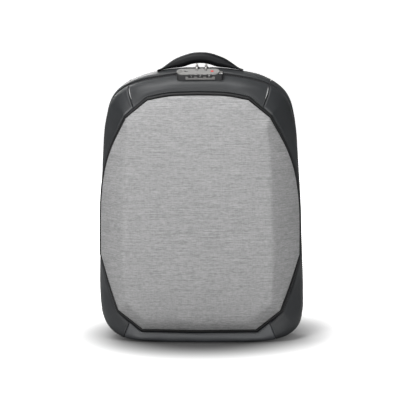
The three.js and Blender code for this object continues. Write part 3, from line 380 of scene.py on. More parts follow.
def body_rows(angle):
    height = height_of(angle)
    base = 1 - smooth_step(height, *BASE_BLEND)
    top = smooth_step(height, *TOP_BLEND)
    out, way = outline_at(angle), radial(angle)
    rows = []
    for size, at_base, at_side, at_top in BODY_ROWS:
        mixed = [(base * at_base[n] + (1 - base - top) * at_side[n] + top * at_top[n]) * size for n in (0, 1)]
        point = out - way * mixed[0][:, None]
        point[:, 1] = mixed[1]
        rows.append(point)
    return rows


def rim_end(angle):
    return shell_edge_at(angle) - radial(angle) * SEAM_GAP + np.array([0, SHELL_RIM, 0])


def toward_shoulder(angle, distance):
    start = rim_end(angle)
    way = body_rows(angle)[0] - start
    return start + way / np.linalg.norm(way, axis=1)[:, None] * distance


def skin(angle, row):
    """Points of the cloth body at directions and rows of the same shape."""
    shape = np.shape(angle)
    flat = np.ravel(angle).astype(float)
    hem = toward_shoulder(flat, 2 * PIPING_RADIUS + 2 * SEAM_GAP)
    points = np.stack([hem, *body_rows(flat)], axis=1)
    found = catmull(points, np.ravel(row) / BACK_EDGE)
    found[:, 2] = np.maximum(found[:, 2], 0)
    return found.reshape(shape + (3,))


def unit(vectors):
    return vectors / np.maximum(np.linalg.norm(vectors, axis=-1, keepdims=True), 1e-9)


def skin_normal(angle, row):
    small = 2e-3
    round_way = skin(angle + small, row) - skin(angle - small, row)
    back_way = skin(angle, np.minimum(row + small, BACK_EDGE)) - skin(angle, np.maximum(row - small, 0))
    normal = unit(np.cross(round_way, back_way))
    outward = np.sum(normal * (skin(angle, row) - np.array([0, 0, PIVOT_Z])), axis=-1, keepdims=True)
    return np.where(outward < 0, -normal, normal)


def row_from(angle, row, distance):
    """The row a distance in millimetres from another one."""
    small = 0.02
    row = np.full_like(angle, row)
    reach = np.linalg.norm(skin(angle, row + small) - skin(angle, row - small), axis=-1) / (2 * small)
    return row + distance / reach


def zip_edge(angle, sign):
    opening = smooth_step(height_of(angle), ZIP_END - ZIP_TAPER, ZIP_END)
    return row_from(angle, ZIP, sign * (SEAM_GAP + (ZIP_OPENING - SEAM_GAP) * opening) / 2)


LATTICE = np.random.RandomState(7).rand(32, 32, 32)


def cloud(points, size):
    """Smooth noise from -1 to 1 with lumps of about that size."""
    p = np.asarray(points) / size
    cell = np.floor(p).astype(int)
    t = p - cell
    t = t * t * (3 - 2 * t)
    total = 0
    for dx in (0, 1):
        for dy in (0, 1):
            for dz in (0, 1):
                weight = np.ones(p.shape[:-1])
                for n, d in enumerate((dx, dy, dz)):
                    weight = weight * (t[..., n] if d else 1 - t[..., n])
                corner = (cell + (dx, dy, dz)) % 32
                total = total + weight * LATTICE[corner[..., 0], corner[..., 1], corner[..., 2]]
    return 2 * total - 1


# Meshes

LOW, HIGH = (np.array(v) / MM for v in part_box("lock_plate"))
PLACE = np.array([(LOW[0] + HIGH[0]) / 2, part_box("back_pad_left")[0].y / MM - BACK_FACE - FIT_GAP, 0])


def new_piece(name, points, faces, finish, uv=None, sharp=None):
    """A smooth mesh object from points in millimetres; uv is one pair per point."""
    mesh = bpy.data.meshes.new(name)
    mesh.from_pydata(((np.asarray(points) + PLACE) * MM).tolist(), [], faces)
    mesh.polygons.foreach_set("use_smooth", np.ones(len(mesh.polygons), bool))
    if uv is not None:
        layer = mesh.uv_layers.new(name="Lengths")
        corner = np.zeros(len(mesh.loops), int)
        mesh.loops.foreach_get("vertex_index", corner)
        layer.data.foreach_set("uv", (np.asarray(uv)[corner] * MM).ravel())
    mesh.materials.append(finish)
    mesh.update()
    if sharp is not None:
        mesh.set_sharp_from_angle(angle=math.radians(sharp))
    piece = bpy.data.objects.new(name, mesh)
    bpy.context.scene.collection.objects.link(piece)
    return piece


def grid_faces(rows, columns, closed=False, start=0):
    steps = rows if closed else rows - 1
    r, c = np.meshgrid(np.arange(steps), np.arange(columns - 1), indexing="ij")
    after = (r + 1) % rows
    quads = np.stack([r * columns + c, after * columns + c, after * columns + c + 1, r * columns + c + 1], -1)
    return (quads.reshape(-1, 4) + start).tolist()


def facing(points, faces, centre):
    """The faces turned so that most look away from a centre."""
    index = np.array([f[:3] for f in faces])
    a, b, c = (points[index[:, n]] for n in range(3))
    outward = np.einsum("ij,ij->i", np.cross(b - a, c - a), (a + b + c) / 3 - centre)
    return [f[::-1] for f in faces] if outward.sum() < 0 else faces


def grid_piece(name, grid, finish, closed=False, uv=None, centre=(0, 0, PIVOT_Z), sharp=None):
    points = grid.reshape(-1, 3)
    faces = facing(points, grid_faces(grid.shape[0], grid.shape[1], closed), np.array(centre))
    return new_piece(name, points, faces, finish, None if uv is None else uv.reshape(-1, 2), sharp)


def ring_loft(name, rings, finish, closed=False, uv=None, sharp=None):
    """A solid through rings (n, sides, 3), capped at both ends unless closed on itself."""
    count, sides = rings.shape[:2]
    points = rings.reshape(-1, 3)
    r, s = np.meshgrid(np.arange(count if closed else count - 1), np.arange(sides), indexing="ij")
    after, beside = (r + 1) % count, (s + 1) % sides
    quads = np.stack([r * sides + s, r * sides + beside, after * sides + beside, after * sides + s], -1)
    faces = quads.reshape(-1, 4).tolist()
    a, b, c = (points[np.array(faces)[:, n]] for n in range(3))
    inside_out = np.einsum("ij,ij->i", a, np.cross(b, c)).sum() < 0
    if not closed:
        faces += [list(range(sides))[::-1], list(range((count - 1) * sides, count * sides))]
    if inside_out:
        faces = [f[::-1] for f in faces]
    return new_piece(name, points, faces, finish, None if uv is None else uv.reshape(-1, 2), sharp)


def section(sides, squareness):
    turn = TURN * (np.arange(sides) + 0.5) / sides
    return np.stack([np.sign(f) * np.abs(f) ** squareness for f in (np.cos(turn), np.sin(turn))], axis=-1)


def along_of(centres, closed=False):
    if closed:
        return unit(np.roll(centres, -1, 0) - np.roll(centres, 1, 0))
    return unit(np.gradient(centres, axis=0))


def axes_of(centres, side, closed=False):
    """Unit directions at each centre: along the line, to its side and up from it."""
    along = along_of(centres, closed)
    side = np.broadcast_to(np.asarray(side, float), centres.shape)
    square = unit(side - along * np.sum(side * along, axis=1, keepdims=True))
    return along, square, np.cross(square, along)


def lengths_of(centres):
    return np.concatenate([[0], np.cumsum(np.linalg.norm(np.diff(centres, axis=0), axis=1))])


def swept(name, centres, outline, half_width, half_thick, side, finish, closed=False, sharp=None):
    """A section carried along a line, with a length map that runs along and round it."""
    _, square, up = axes_of(centres, side, closed)
    wide = np.broadcast_to(half_width, len(centres))[:, None, None]
    thick = np.broadcast_to(half_thick, len(centres))[:, None, None]
    u, v = outline[None, :, :1], outline[None, :, 1:]
    rings = centres[:, None] + square[:, None] * u * wide + up[:, None] * v * thick
    across = np.broadcast_to((u * wide)[..., 0], rings.shape[:2])
    far = np.broadcast_to(lengths_of(centres)[:, None], rings.shape[:2])
    return ring_loft(name, rings, finish, closed, np.stack([across, far], -1), sharp)


def stitch_row(name, points, normals, pitch=3.3, length=2.4, thread=0.36):
    """A row of short thread stitches that lie on a line of surface points and ride on the bag."""
    places = lengths_of(points)
    count = max(int(places[-1] / pitch), 1)
    middle = (np.arange(count) + 0.5) * places[-1] / count
    centre = points_at(middle, places, points)
    normal = unit(points_at(middle, places, normals))
    step = 0.4
    along = unit(points_at(middle + step, places, points) - points_at(middle - step, places, points))
    side = np.cross(along, normal)
    sides = 5
    turn = TURN * np.arange(sides) / sides
    rings = []
    for place, size, lift in STITCH_PROFILE:
        middle_line = centre + along * place * length + normal * lift * thread
        spokes = side[:, None] * np.cos(turn)[None, :, None] + normal[:, None] * np.sin(turn)[None, :, None]
        rings.append(middle_line[:, None] + spokes * thread * size)
    grid = np.stack(rings, axis=1)
    points = grid.reshape(-1, 3)
    faces = []
    for n in range(count):
        for r in range(len(STITCH_PROFILE) - 1):
            start = (n * len(STITCH_PROFILE) + r) * sides
            for s in range(sides):
                a, b = start + s, start + (s + 1) % sides
                faces.append([a, a + sides, b + sides, b])
    riding(new_piece(name, points, faces, finish("thread")))


def riding(piece, body="bag", nodes=()):
    """Puts a piece on its body and hides the frame solids that it stands for."""
    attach(piece, body)
    if nodes:
        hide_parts(*nodes)


# Shader node groups and finishes

def put(tree, kind, values=None, **settings):
    """A node with its settings, whose inputs take values or links."""
    node = tree.nodes.new(kind)
    for key, value in settings.items():
        setattr(node, key, value)
    for key, value in (values or {}).items():
        if isinstance(value, bpy.types.NodeSocket):
            tree.links.new(value, node.inputs[key])
        else:
            node.inputs[key].default_value = value
    return node


def maths(tree, operation, *values):
    return put(tree, "ShaderNodeMath", dict(enumerate(values)), operation=operation).outputs[0]


def ramp(tree, value, low, high, start=0.0, end=1.0):
    values = {"Value": value, "From Min": low, "From Max": high, "To Min": start, "To Max": end}
    return put(tree, "ShaderNodeMapRange", values).outputs[0]


def blend(tree, factor, first, second):
    mix = put(tree, "ShaderNodeMix", {"Factor": factor}, data_type="RGBA")
    for socket, value in ((mix.inputs[6], first), (mix.inputs[7], second)):
        if isinstance(value, bpy.types.NodeSocket):
            tree.links.new(value, socket)
        else:
            socket.default_value = (*value[:3], 1)
    return mix.outputs[2]


def effect(name, inputs, outputs, build):
    """A shader node group; build gets its tree, the input sockets by name and returns output values."""
    if name in bpy.data.node_groups:
        return bpy.data.node_groups[name]
    tree = bpy.data.node_groups.new(name, "ShaderNodeTree")
    for label, (kind, default) in inputs.items():
        socket = tree.interface.new_socket(label, in_out="INPUT", socket_type=kind)
        if default is not None:
            socket.default_value = default
    for label in outputs:
        tree.interface.new_socket(label, in_out="OUTPUT", socket_type="NodeSocketFloat")
    source = tree.nodes.new("NodeGroupInput").outputs
    result = build(tree, source)
    put(tree, "NodeGroupOutput", dict(zip(outputs, result)))
    return tree


FLOAT = "NodeSocketFloat"
VECTOR = "NodeSocketVector"


def scaled(tree, vector, scale):
    return put(tree, "ShaderNodeVectorMath", {0: vector, 1: scale}, operation="MULTIPLY").outputs[0]


def build_weave(tree, source):
    """Crossing threads: a height and a mask of the upper thread. Pitch is in millimetres."""
    parts = put(tree, "ShaderNodeSeparateXYZ", {0: source["Vector"]}).outputs
    step = maths(tree, "DIVIDE", 1000 * math.pi, source["Pitch"])
    waves = [maths(tree, "SINE", maths(tree, "MULTIPLY", parts[n], step)) for n in (0, 1)]
    crossed = maths(tree, "MULTIPLY", *waves)
    height = maths(tree, "ABSOLUTE", crossed)
    return height, ramp(tree, crossed, -0.4, 0.4)


def build_slub(tree, source):
    """Uneven yarn: long thin streaks along one way and shorter ones across it."""
    parts = []
    for scale, low, share in (
        ((160, 160, 1000), 0.34, 0.42),
        ((24, 24, 900), 0.32, 0.42),
        ((620, 620, 150), 0.34, 0.16),
    ):
        place = scaled(tree, source["Vector"], scale)
        noise = put(tree, "ShaderNodeTexNoise", {"Vector": place, "Scale": 1, "Detail": 2})
        parts.append(maths(tree, "MULTIPLY", ramp(tree, noise.outputs[0], low, 1 - low), share))
    return (maths(tree, "ADD", maths(tree, "ADD", parts[0], parts[1]), parts[2]),)


def build_grain(tree, source):
    """Fine moulded or coated grain, and slow variation for handling marks."""
    place = source["Vector"]
    noise = put(tree, "ShaderNodeTexNoise", {"Vector": place, "Scale": source["Scale"], "Detail": 3})
    slow = put(tree, "ShaderNodeTexNoise", {"Vector": place, "Scale": 14, "Detail": 2})
    return noise.outputs[0], ramp(tree, slow.outputs[0], 0.3, 0.7)


def build_air_mesh(tree, source):
    """Round holes of a spacer mesh: a height and a mask of the holes. Pitch is in millimetres."""
    scale = maths(tree, "DIVIDE", 1000.0, source["Pitch"])
    values = {"Vector": source["Vector"], "Scale": scale, "Randomness": 0.12}
    distance = put(tree, "ShaderNodeTexVoronoi", values).outputs["Distance"]
    return ramp(tree, distance, 0.18, 0.5), ramp(tree, distance, 0.34, 0.2)


def build_brushed(tree, source):
    """Scratches of brushed metal that run along X."""
    place = scaled(tree, source["Vector"], (120, 5200, 5200))
    noise = put(tree, "ShaderNodeTexNoise", {"Vector": place, "Scale": 1, "Detail": 3})
    return (noise.outputs[0],)


def groups():
    place = {"Vector": (VECTOR, None)}
    pitched = {**place, "Pitch": (FLOAT, 1.0)}
    return {
        "weave": effect("Crossed Weave", pitched, ("Height", "Upper Thread"), build_weave),
        "slub": effect("Slub Yarn", place, ("Streak",), build_slub),
        "grain": effect("Fine Grain", {**place, "Scale": (FLOAT, 900.0)}, ("Grain", "Handling"), build_grain),
        "air_mesh": effect("Air Mesh", pitched, ("Height", "Hole"), build_air_mesh),
        "brushed": effect("Brushed Lines", place, ("Line",), build_brushed),
    }


def use(tree, group, values):
    return put(tree, "ShaderNodeGroup", values, node_tree=group).outputs


def surface(name, build, **constants):
    """A Principled finish; build returns its linked inputs and the height for a bump, or None."""
    if name in bpy.data.materials:
        return bpy.data.materials[name]
    made = bpy.data.materials.new(name)
    made.use_nodes = True
    tree = made.node_tree
    shader = tree.nodes["Principled BSDF"]
    for key, value in constants.items():
        shader.inputs[key.replace("_", " ")].default_value = value
    linked, height, depth = build(tree)
    for key, value in linked.items():
        tree.links.new(value, shader.inputs[key])
    if height is not None:
        bump = put(tree, "ShaderNodeBump", {"Height": height, "Distance": depth * MM, "Strength": 1.0})
        tree.links.new(bump.outputs[0], shader.inputs["Normal"])
    return made


def object_place(tree):
    return put(tree, "ShaderNodeTexCoord").outputs["Object"]


def length_place(tree):
    return put(tree, "ShaderNodeTexCoord").outputs["UV"]


def shade_of(colour, factor):
    return tuple(channel * factor for channel in colour[:3])


def finishes():
    """Every finish of the backpack by name, from the colours in the panel."""
    tone = bpy.context.scene.backpack_finish
    made = groups()

    def heather(tree):
        place = object_place(tree)
        streak = use(tree, made["slub"], {"Vector": place})[0]
        upright = {"Vector": place, "Angle": math.pi / 2}
        turned = put(tree, "ShaderNodeVectorRotate", upright, rotation_type="X_AXIS")
        weave = use(tree, made["weave"], {"Vector": turned.outputs[0], "Pitch": 0.9})
        colour = blend(tree, ramp(tree, streak, 0.15, 0.85), tone.shell_dark, tone.shell_light)
        threads, slubs = maths(tree, "MULTIPLY", weave[0], 0.5), maths(tree, "MULTIPLY", streak, 0.8)
        return {"Base Color": colour}, maths(tree, "ADD", threads, slubs), 0.22

    def coated(colour, weave_pitch, depth):
        def build(tree):
            place = object_place(tree)
            grain = use(tree, made["grain"], {"Vector": place, "Scale": 700.0})
            weave = use(tree, made["weave"], {"Vector": place, "Pitch": weave_pitch})
            mixed = blend(tree, grain[1], shade_of(colour, 0.88), shade_of(colour, 1.12))
            rough = ramp(tree, grain[1], 0, 1, 0.44, 0.54)
            height = maths(tree, "ADD", maths(tree, "MULTIPLY", weave[0], 0.5), grain[0])
            return {"Base Color": mixed, "Roughness": rough}, height, depth

        return build

    def ribbed(colour, pitch):
        def build(tree):
            weave = use(tree, made["weave"], {"Vector": length_place(tree), "Pitch": pitch})
            # Painted light and shade on the weave: one colour, lighter where the upper threads cross and
            # darker elsewhere.
            mixed = blend(tree, weave[1], shade_of(colour, 0.7), shade_of(colour, 1.3))
            return {"Base Color": mixed}, weave[0], 0.25

        return build

    def meshed(tree):
        cells = use(tree, made["air_mesh"], {"Vector": object_place(tree), "Pitch": 2.6})
        # The holes are painted in shade, at a quarter of the mesh's colour.
        mixed = blend(tree, cells[1], tone.mesh, shade_of(tone.mesh, 0.25))
        return {"Base Color": mixed}, cells[0], 0.5

    def moulded(colour, low, high):
        def build(tree):
            grain = use(tree, made["grain"], {"Vector": object_place(tree), "Scale": 2400.0})
            mixed = blend(tree, grain[1], shade_of(colour, 0.9), shade_of(colour, 1.1))
            return {"Base Color": mixed, "Roughness": ramp(tree, grain[1], 0, 1, low, high)}, grain[0], 0.04

        return build

    def brushed(colour, low, high):
        def build(tree):
            line = use(tree, made["brushed"], {"Vector": object_place(tree)})[0]
            mixed = blend(tree, line, shade_of(colour, 0.82), shade_of(colour, 1.15))
            return {"Base Color": mixed, "Roughness": ramp(tree, line, 0.3, 0.7, low, high)}, line, 0.03

        return build

    return {
        "shell": surface("Heather Cloth", heather, Roughness=0.95, Specular_IOR_Level=0.2),
        "panel": surface("Coated Cloth", coated(tone.panel, 0.8, 0.07), Specular_IOR_Level=0.38),
        # The base has the panels' coated cloth, painted lighter: painted light from the floor below.
        "base": surface("Base Cloth", coated(tone.base, 0.8, 0.07), Specular_IOR_Level=0.6),
        # The pinched folds' light cloth is a painted highlight.
        "fold": surface("Folded Cloth", coated(tone.fold, 0.8, 0.03), Specular_IOR_Level=0.6),
        "trim": surface("Binding Cloth", coated(tone.trim, 0.6, 0.08), Specular_IOR_Level=0.25),
        "grip": surface("Grip Cover", coated(tone.grip, 0.5, 0.03), Specular_IOR_Level=0.16),
        "thread": surface("Sewing Thread", ribbed(tone.thread, 0.4), Roughness=0.6),
        "mesh": surface("Air Mesh Cloth", meshed, Roughness=0.9, Sheen_Weight=0.15),
        "webbing": surface("Ribbed Webbing", ribbed(tone.webbing, 1.5), Roughness=0.75),
        "tape": surface("Zip Tape", ribbed(tone.trim, 0.9), Roughness=0.85),
        "coil": surface("Zip Coil", moulded(tone.plastic, 0.3, 0.45)),
        "plastic": surface("Moulded Plastic", moulded(tone.plastic, 0.35, 0.5)),
        "lacquer": surface("Black Lacquer", moulded(tone.plastic, 0.22, 0.34), Metallic=0.3),
        "gunmetal": surface("Brushed Gunmetal", brushed(tone.gunmetal, 0.28, 0.42), Metallic=1.0),
        "silver": surface("Brushed Silver", brushed(tone.silver, 0.48, 0.62), Metallic=1.0),
        "bright": surface("Satin Silver", brushed(tone.bright, 0.3, 0.42), Metallic=1.0),
        "inlay": surface("Red Inlay", moulded(tone.inlay, 0.4, 0.5), Specular_IOR_Level=0.3),
        "digits": surface("Digit Paint", moulded(tone.digits, 0.5, 0.6)),
    }


def finish(name):
    return finishes()[name]


# Settings

def length_setting(name, description, default):
    return bpy.props.FloatProperty(name=name, description=description, default=default, unit="LENGTH")


def colour_setting(name, description, default):
    return bpy.props.FloatVectorProperty(
        name=name, description=description, default=default, subtype="COLOR", size=3, min=0, max=1
    )


def angle_setting(name, description, degrees):
    return bpy.props.FloatProperty(
        name=name, description=description, default=math.radians(degrees), subtype="ANGLE"
    )


def power_setting(name, description, default):
    return bpy.props.FloatProperty(name=name, description=description, default=default, unit="POWER")


class BackpackShapeSettings(bpy.types.PropertyGroup):
    """Sizes of the soft detail that is laid over the frame"""

    crease_softness: bpy.props.IntProperty(
        name="Crease Softness",
        description="Smoothing passes over the shell's folds, all but the first at its top and bottom alone",
        default=14,
        min=0,
    )
    fold_depth: length_setting("Fold Depth", "Height of the slow waves in the cloth panels", 0.0009)
    pucker_depth: length_setting("Pucker Depth", "Height of the puckers beside the seams", 0.0003)
    stitch_pitch: length_setting("Stitch Pitch", "Length from one stitch to the next", 0.0033)
    tooth_pitch: length_setting("Tooth Pitch", "Length from one zip tooth to the next", 0.0019)


class BackpackFinishSettings(bpy.types.PropertyGroup):
    """Colours of the backpack's finishes"""

    shell_light: colour_setting("Light Yarn", "Lighter yarn of the heather cloth", (0.307, 0.307, 0.307))
    shell_dark: colour_setting("Dark Yarn", "Darker yarn of the heather cloth", (0.179, 0.179, 0.181))
    panel: colour_setting("Panel Cloth", "Coated cloth of the top and sides", (0.019, 0.0204, 0.022))
    # The same coated cloth as the panels, painted lighter: painted light from the floor below.
    base: colour_setting("Base Cloth", "Coated cloth of the base", (0.036, 0.0388, 0.0425))
    # Light grey cloth of the pinched folds beside the upper seams: a painted highlight on the raised folds.
    fold: colour_setting("Folded Cloth", "Painted highlight on the pinched folds", (0.22, 0.22, 0.22))
    trim: colour_setting("Binding", "Piping and binding cloth", (0.006, 0.006, 0.0065))
    grip: colour_setting("Grip", "Cover of the carry handle", (0.005, 0.0055, 0.0063))
    thread: colour_setting("Thread", "Sewing thread", (0.035, 0.036, 0.038))
    mesh: colour_setting("Air Mesh", "Mesh over the back and straps", (0.036, 0.036, 0.039))
    webbing: colour_setting("Webbing", "Webbing of the straps", (0.016, 0.016, 0.017))
    plastic: colour_setting("Plastic", "Adjusters, zip teeth and the lock's body", (0.013, 0.013, 0.014))
    gunmetal: colour_setting("Gunmetal", "Dial frame and pulls", (0.2, 0.197, 0.192))
    silver: colour_setting("Brushed Silver", "Cover plate of the lock", (0.36, 0.356, 0.348))
    bright: colour_setting("Satin Silver", "Button and key plug", (0.5, 0.495, 0.48))
    inlay: colour_setting("Inlay", "Round inlay of the lock", (0.5, 0.035, 0.03))
    digits: colour_setting("Digits", "Paint of the numbers on the dials", (0.75, 0.75, 0.73))


class BackpackStageSettings(bpy.types.PropertyGroup):
    """Camera, floor and lights"""

    azimuth: angle_setting("Azimuth", "Turn of the camera to the right", 3.6)
    elevation: angle_setting("Elevation", "Camera's height as an angle", 6.5)
    roll: angle_setting("Roll", "Lean of the camera", -0.4)
    distance: length_setting("Distance", "From the camera to the point that it looks at", 2.8)
    view_width: length_setting("View Width", "Width of the view at that point", 0.628)
    look_aside: length_setting("Look Aside", "Place across of the point that the camera looks at", -0.0022)
    look_height: length_setting("Look Height", "Height of the point that the camera looks at", 0.2135)
    key_power: power_setting("Key Light", "Power of the large light above and left", 58)
    top_power: power_setting("Top Light", "Power of the light overhead", 38)
    low_power: power_setting("Low Light", "Power of the light near the floor in front", 34)
    rear_power: power_setting("Rear Light", "Power of the soft light behind", 42)
    floor_tone: colour_setting("Floor", "Pale floor and backdrop", (0.86, 0.86, 0.86))
    floor_glow: bpy.props.FloatProperty(
        name="Floor Glow", description="Light that the camera sees from the backdrop", default=0.8, min=0
    )
    # Painted shadow: between these two distances from the bag's middle the floor's colour and glow go from
    # nearly black to clear.
    shade_start: length_setting("Shade Start", "From the bag's middle to the end of the floor's dark", 0.09)
    shade_end: length_setting("Shade End", "From the bag's middle to the clear floor", 0.31)
    surround: bpy.props.FloatProperty(
        name="Surround", description="Strength of the light from all round", default=0.1, min=0
    )


# The stage

def aim(obj, target, roll=0.0):
    way = Vector(target) - obj.location
    turned = way.to_track_quat("-Z", "Y")
    obj.rotation_euler = turned.to_euler()
    obj.rotation_euler.rotate_axis("Z", roll)


def area_light(name, place, target, size, power):
    data = bpy.data.lights.new(name, "AREA")
    data.shape = "RECTANGLE"
    data.size, data.size_y = size
    data.energy = power
    lamp = bpy.data.objects.new(name, data)
    lamp.location = place
    bpy.context.scene.collection.objects.link(lamp)
    aim(lamp, target)


class OBJECT_OT_backpack_stage(bpy.types.Operator):
    """Makes the camera, the floor and the studio lights"""

    bl_idname = "object.backpack_stage"
    bl_label = "Camera and Stage"

    def execute(self, context):
        stage = context.scene.backpack_stage
        self.camera(context.scene, stage)
        self.floor(context.scene, stage)
        self.surround(context.scene, stage)
        for name, (place, size, power) in LIGHTS.items():
            area_light(name, place, LIGHT_TARGET, size, getattr(stage, power))
        return {"FINISHED"}

    def camera(self, scene, stage):
        data = bpy.data.cameras.new("Camera")
        camera = bpy.data.objects.new("Camera", data)
        scene.collection.objects.link(camera)
        scene.camera = camera
        data.sensor_width = 36
        data.lens = data.sensor_width * stage.distance / stage.view_width
        data.clip_end = 50
        target = Vector((stage.look_aside, 0, stage.look_height))
        flat = math.cos(stage.elevation)
        way = Vector((
            math.sin(stage.azimuth) * flat,
            -math.cos(stage.azimuth) * flat,
            math.sin(stage.elevation),
        ))
        camera.location = target + way * stage.distance
        aim(camera, target, stage.roll)

    def floor(self, scene, stage):
        """The backdrop, with a painted shadow under the bag that darkens its colour and its glow, and bright
        to the camera further off.
        """
        sweep = [
            (SWEEP_START + SWEEP_RADIUS * math.sin(t), SWEEP_RADIUS - SWEEP_RADIUS * math.cos(t))
            for t in np.linspace(0, math.pi / 2, 17)
        ]
        profile = [(FLOOR_FRONT, 0), *sweep, (SWEEP_START + SWEEP_RADIUS, WALL_HEIGHT)]
        across = np.linspace(-FLOOR_HALF_WIDTH, FLOOR_HALF_WIDTH, 9)
        grid = np.array([[(x, y, z) for y, z in profile] for x in across])
        mesh = bpy.data.meshes.new("floor")
        mesh.from_pydata(grid.reshape(-1, 3).tolist(), [], grid_faces(*grid.shape[:2]))
        mesh.polygons.foreach_set("use_smooth", np.ones(len(mesh.polygons), bool))
        floor = bpy.data.objects.new("floor", mesh)
        scene.collection.objects.link(floor)
        tone = stage.floor_tone

        def paper(tree):
            place = object_place(tree)
            noise = put(tree, "ShaderNodeTexNoise", {"Vector": place, "Scale": 3.0, "Detail": 2})
            seen = put(tree, "ShaderNodeLightPath").outputs["Is Camera Ray"]
            # Painted shadow: the floor's colour and its glow to the camera darken towards the bag's middle.
            reach = put(tree, "ShaderNodeVectorMath", {0: place}, operation="LENGTH").outputs["Value"]
            limits = {"Value": reach, "From Min": stage.shade_start, "From Max": stage.shade_end}
            clear = put(tree, "ShaderNodeMapRange", limits, interpolation_type="SMOOTHSTEP").outputs[0]
            glow = maths(tree, "MULTIPLY", seen, maths(tree, "MULTIPLY", clear, stage.floor_glow))
            pale = blend(tree, noise.outputs[0], shade_of(tone, 0.99), tone)
            colour = blend(tree, clear, shade_of(tone, 0.06), pale)
            return {"Base Color": colour, "Emission Strength": glow}, None, 0

        mesh.materials.append(surface("Studio Paper", paper, Roughness=0.8, Emission_Color=(1, 1, 1, 1)))

    def surround(self, scene, stage):
        """Soft light from all round, which the camera sees as plain white."""
        scene.world = scene.world or bpy.data.worlds.new("Studio")
        scene.world.use_nodes = True
        tree = scene.world.node_tree
        background = tree.nodes["Background"]
        background.inputs["Color"].default_value = (1, 1, 1, 1)
        seen = put(tree, "ShaderNodeLightPath").outputs["Is Camera Ray"]
        strength = put(tree, "ShaderNodeMapRange", {"Value": seen, "To Min": stage.surround})
        tree.links.new(strength.outputs[0], background.inputs["Strength"])
        scene.view_settings.view_transform = "Standard"


# The shell and its piping

def shell_angles(count):
    """Directions round the bag, with the shell's cut corners among them."""
    corners = [
        math.atan2(up * BODY_HEIGHT - PIVOT_Z, across * HALF_WIDTH)
        for across, up, _, corner in SHELL_EDGE
        if corner
    ]
    corners += [math.pi - c for c in corners]
    even = round_bag(count)
    for corner in corners:
        even[np.argmin(np.abs(even - corner))] = corner
    return np.sort(even)


class OBJECT_OT_backpack_shell(bpy.types.Operator):
    """Makes the cloth-covered moulded shell and the piping round it"""

    bl_idname = "object.backpack_shell"
    bl_label = "Front Shell"

    def execute(self, context):
        angle = shell_angles(480)
        middle = np.array([0, -FRONT_DEPTH, PIVOT_Z])
        folded = self.folded(angle, middle)
        soft = self.softened(folded, angle, context.scene.backpack_shape.crease_softness)
        grid = np.concatenate([soft[:, :-1], self.rim(angle)], axis=1)
        points = np.concatenate([grid.reshape(-1, 3), middle[None]])
        faces = grid_faces(grid.shape[0], grid.shape[1], True)
        hub, count = len(points) - 1, grid.shape[1]
        faces += [[hub, ((n + 1) % len(angle)) * count, n * count] for n in range(len(angle))]
        faces = facing(points, faces, np.array([0, 60, PIVOT_Z]))
        shell = new_piece("shell_cloth", points, faces, finish("shell"))
        riding(shell, nodes=("front_shell",))

        centres = toward_shoulder(angle, PIPING_RADIUS + SEAM_GAP)
        piping = swept(
            "shell_piping_cord", centres, section(14, 1), PIPING_RADIUS, PIPING_RADIUS, radial(angle),
            finish("trim"), closed=True,
        )
        riding(piping, nodes=("shell_piping",))
        return {"FINISHED"}

    def folded(self, angle, middle):
        """Rings of the flat face from its middle to its fold, then of the wings to the shell's edge."""
        crease, edge, way = shell_crease_at(angle), shell_edge_at(angle), radial(angle)
        flatness, bow = 2.5, 0.03
        columns = []
        for share in np.linspace(0, 1, 30)[1:]:
            point = middle + (crease - middle) * share
            point[:, 1] = middle[1] + (crease[:, 1] - middle[1]) * share**flatness
            columns.append(point)
        width = np.linalg.norm(edge - crease, axis=1)[:, None]
        for share in np.linspace(0, 1, 15)[1:]:
            away = bow * math.sin(math.pi * share**1.3) * width * math.sqrt(0.5)
            point = crease + (edge - crease) * share + way * away
            point[:, 1:2] -= away
            columns.append(point)
        return np.stack(columns, axis=1)

    def softened(self, grid, angle, passes):
        """The first pass softens all folds, and the others only those at the top and bottom."""
        edge = grid.shape[1] - 1
        away_from_middle = slice(4, edge)
        upright = smooth_step(np.abs(np.sin(angle)), 0.82, 0.96)[:, None, None]
        for turn in range(passes):
            smooth = grid.copy()
            smooth[:, 1:edge] = (grid[:, :edge - 1] + 2 * grid[:, 1:edge] + grid[:, 2:]) / 4
            outer = smooth[:, away_from_middle]
            smooth[:, away_from_middle] = (np.roll(outer, 1, 0) + 4 * outer + np.roll(outer, -1, 0)) / 6
            grid = smooth if turn == 0 else grid + (smooth - grid) * upright
        return grid

    def rim(self, angle):
        """Rings of the rounded edge, the rim behind it and the lip turned in."""
        edge, end, way = shell_edge_at(angle), rim_end(angle), radial(angle)
        back = np.array([0, SHELL_EDGE_RADIUS, 0])
        corner = edge + back - way * SHELL_EDGE_RADIUS
        rings = [
            corner + way * SHELL_EDGE_RADIUS * math.sin(turn) - back * math.cos(turn)
            for turn in np.radians((18, 40, 62, 82))
        ]
        rings += [edge + (end - edge) * share for share in (0.4, 0.7, 1)]
        rings.append(rings[-1] - way * SHELL_LIP)
        return np.stack(rings, axis=1)


# Cloth panels behind the shell

def spread(length, pitch):
    """Distances over a length, close together near both ends."""
    near = [d for d in (0, 0.2, 0.6, 1.2, 2.0, 3.2, 4.8) if d < length / 3]
    inside = np.linspace(near[-1], length - near[-1], max(int((length - 2 * near[-1]) / pitch), 2) + 1)
    return np.concatenate([near[:-1], inside, [length - d for d in near[-2::-1]]])


def rolled(distance, radius):
    """How far a turned-in edge drops at a distance from it."""
    left = np.clip(radius - distance, 0, radius)
    return np.sqrt(radius**2 - left**2) - radius


def seam_at(seam, side, turned=0.0):
    """A function from rows to the direction of a leaning seam on one side."""
    hem, at_zip = np.radians(seam)
    if side == "left":
        hem, at_zip = math.pi - hem, math.pi - at_zip

    def read(row):
        return hem + (at_zip - hem) * np.clip(row / ZIP, 0, 1) + turned

    return read


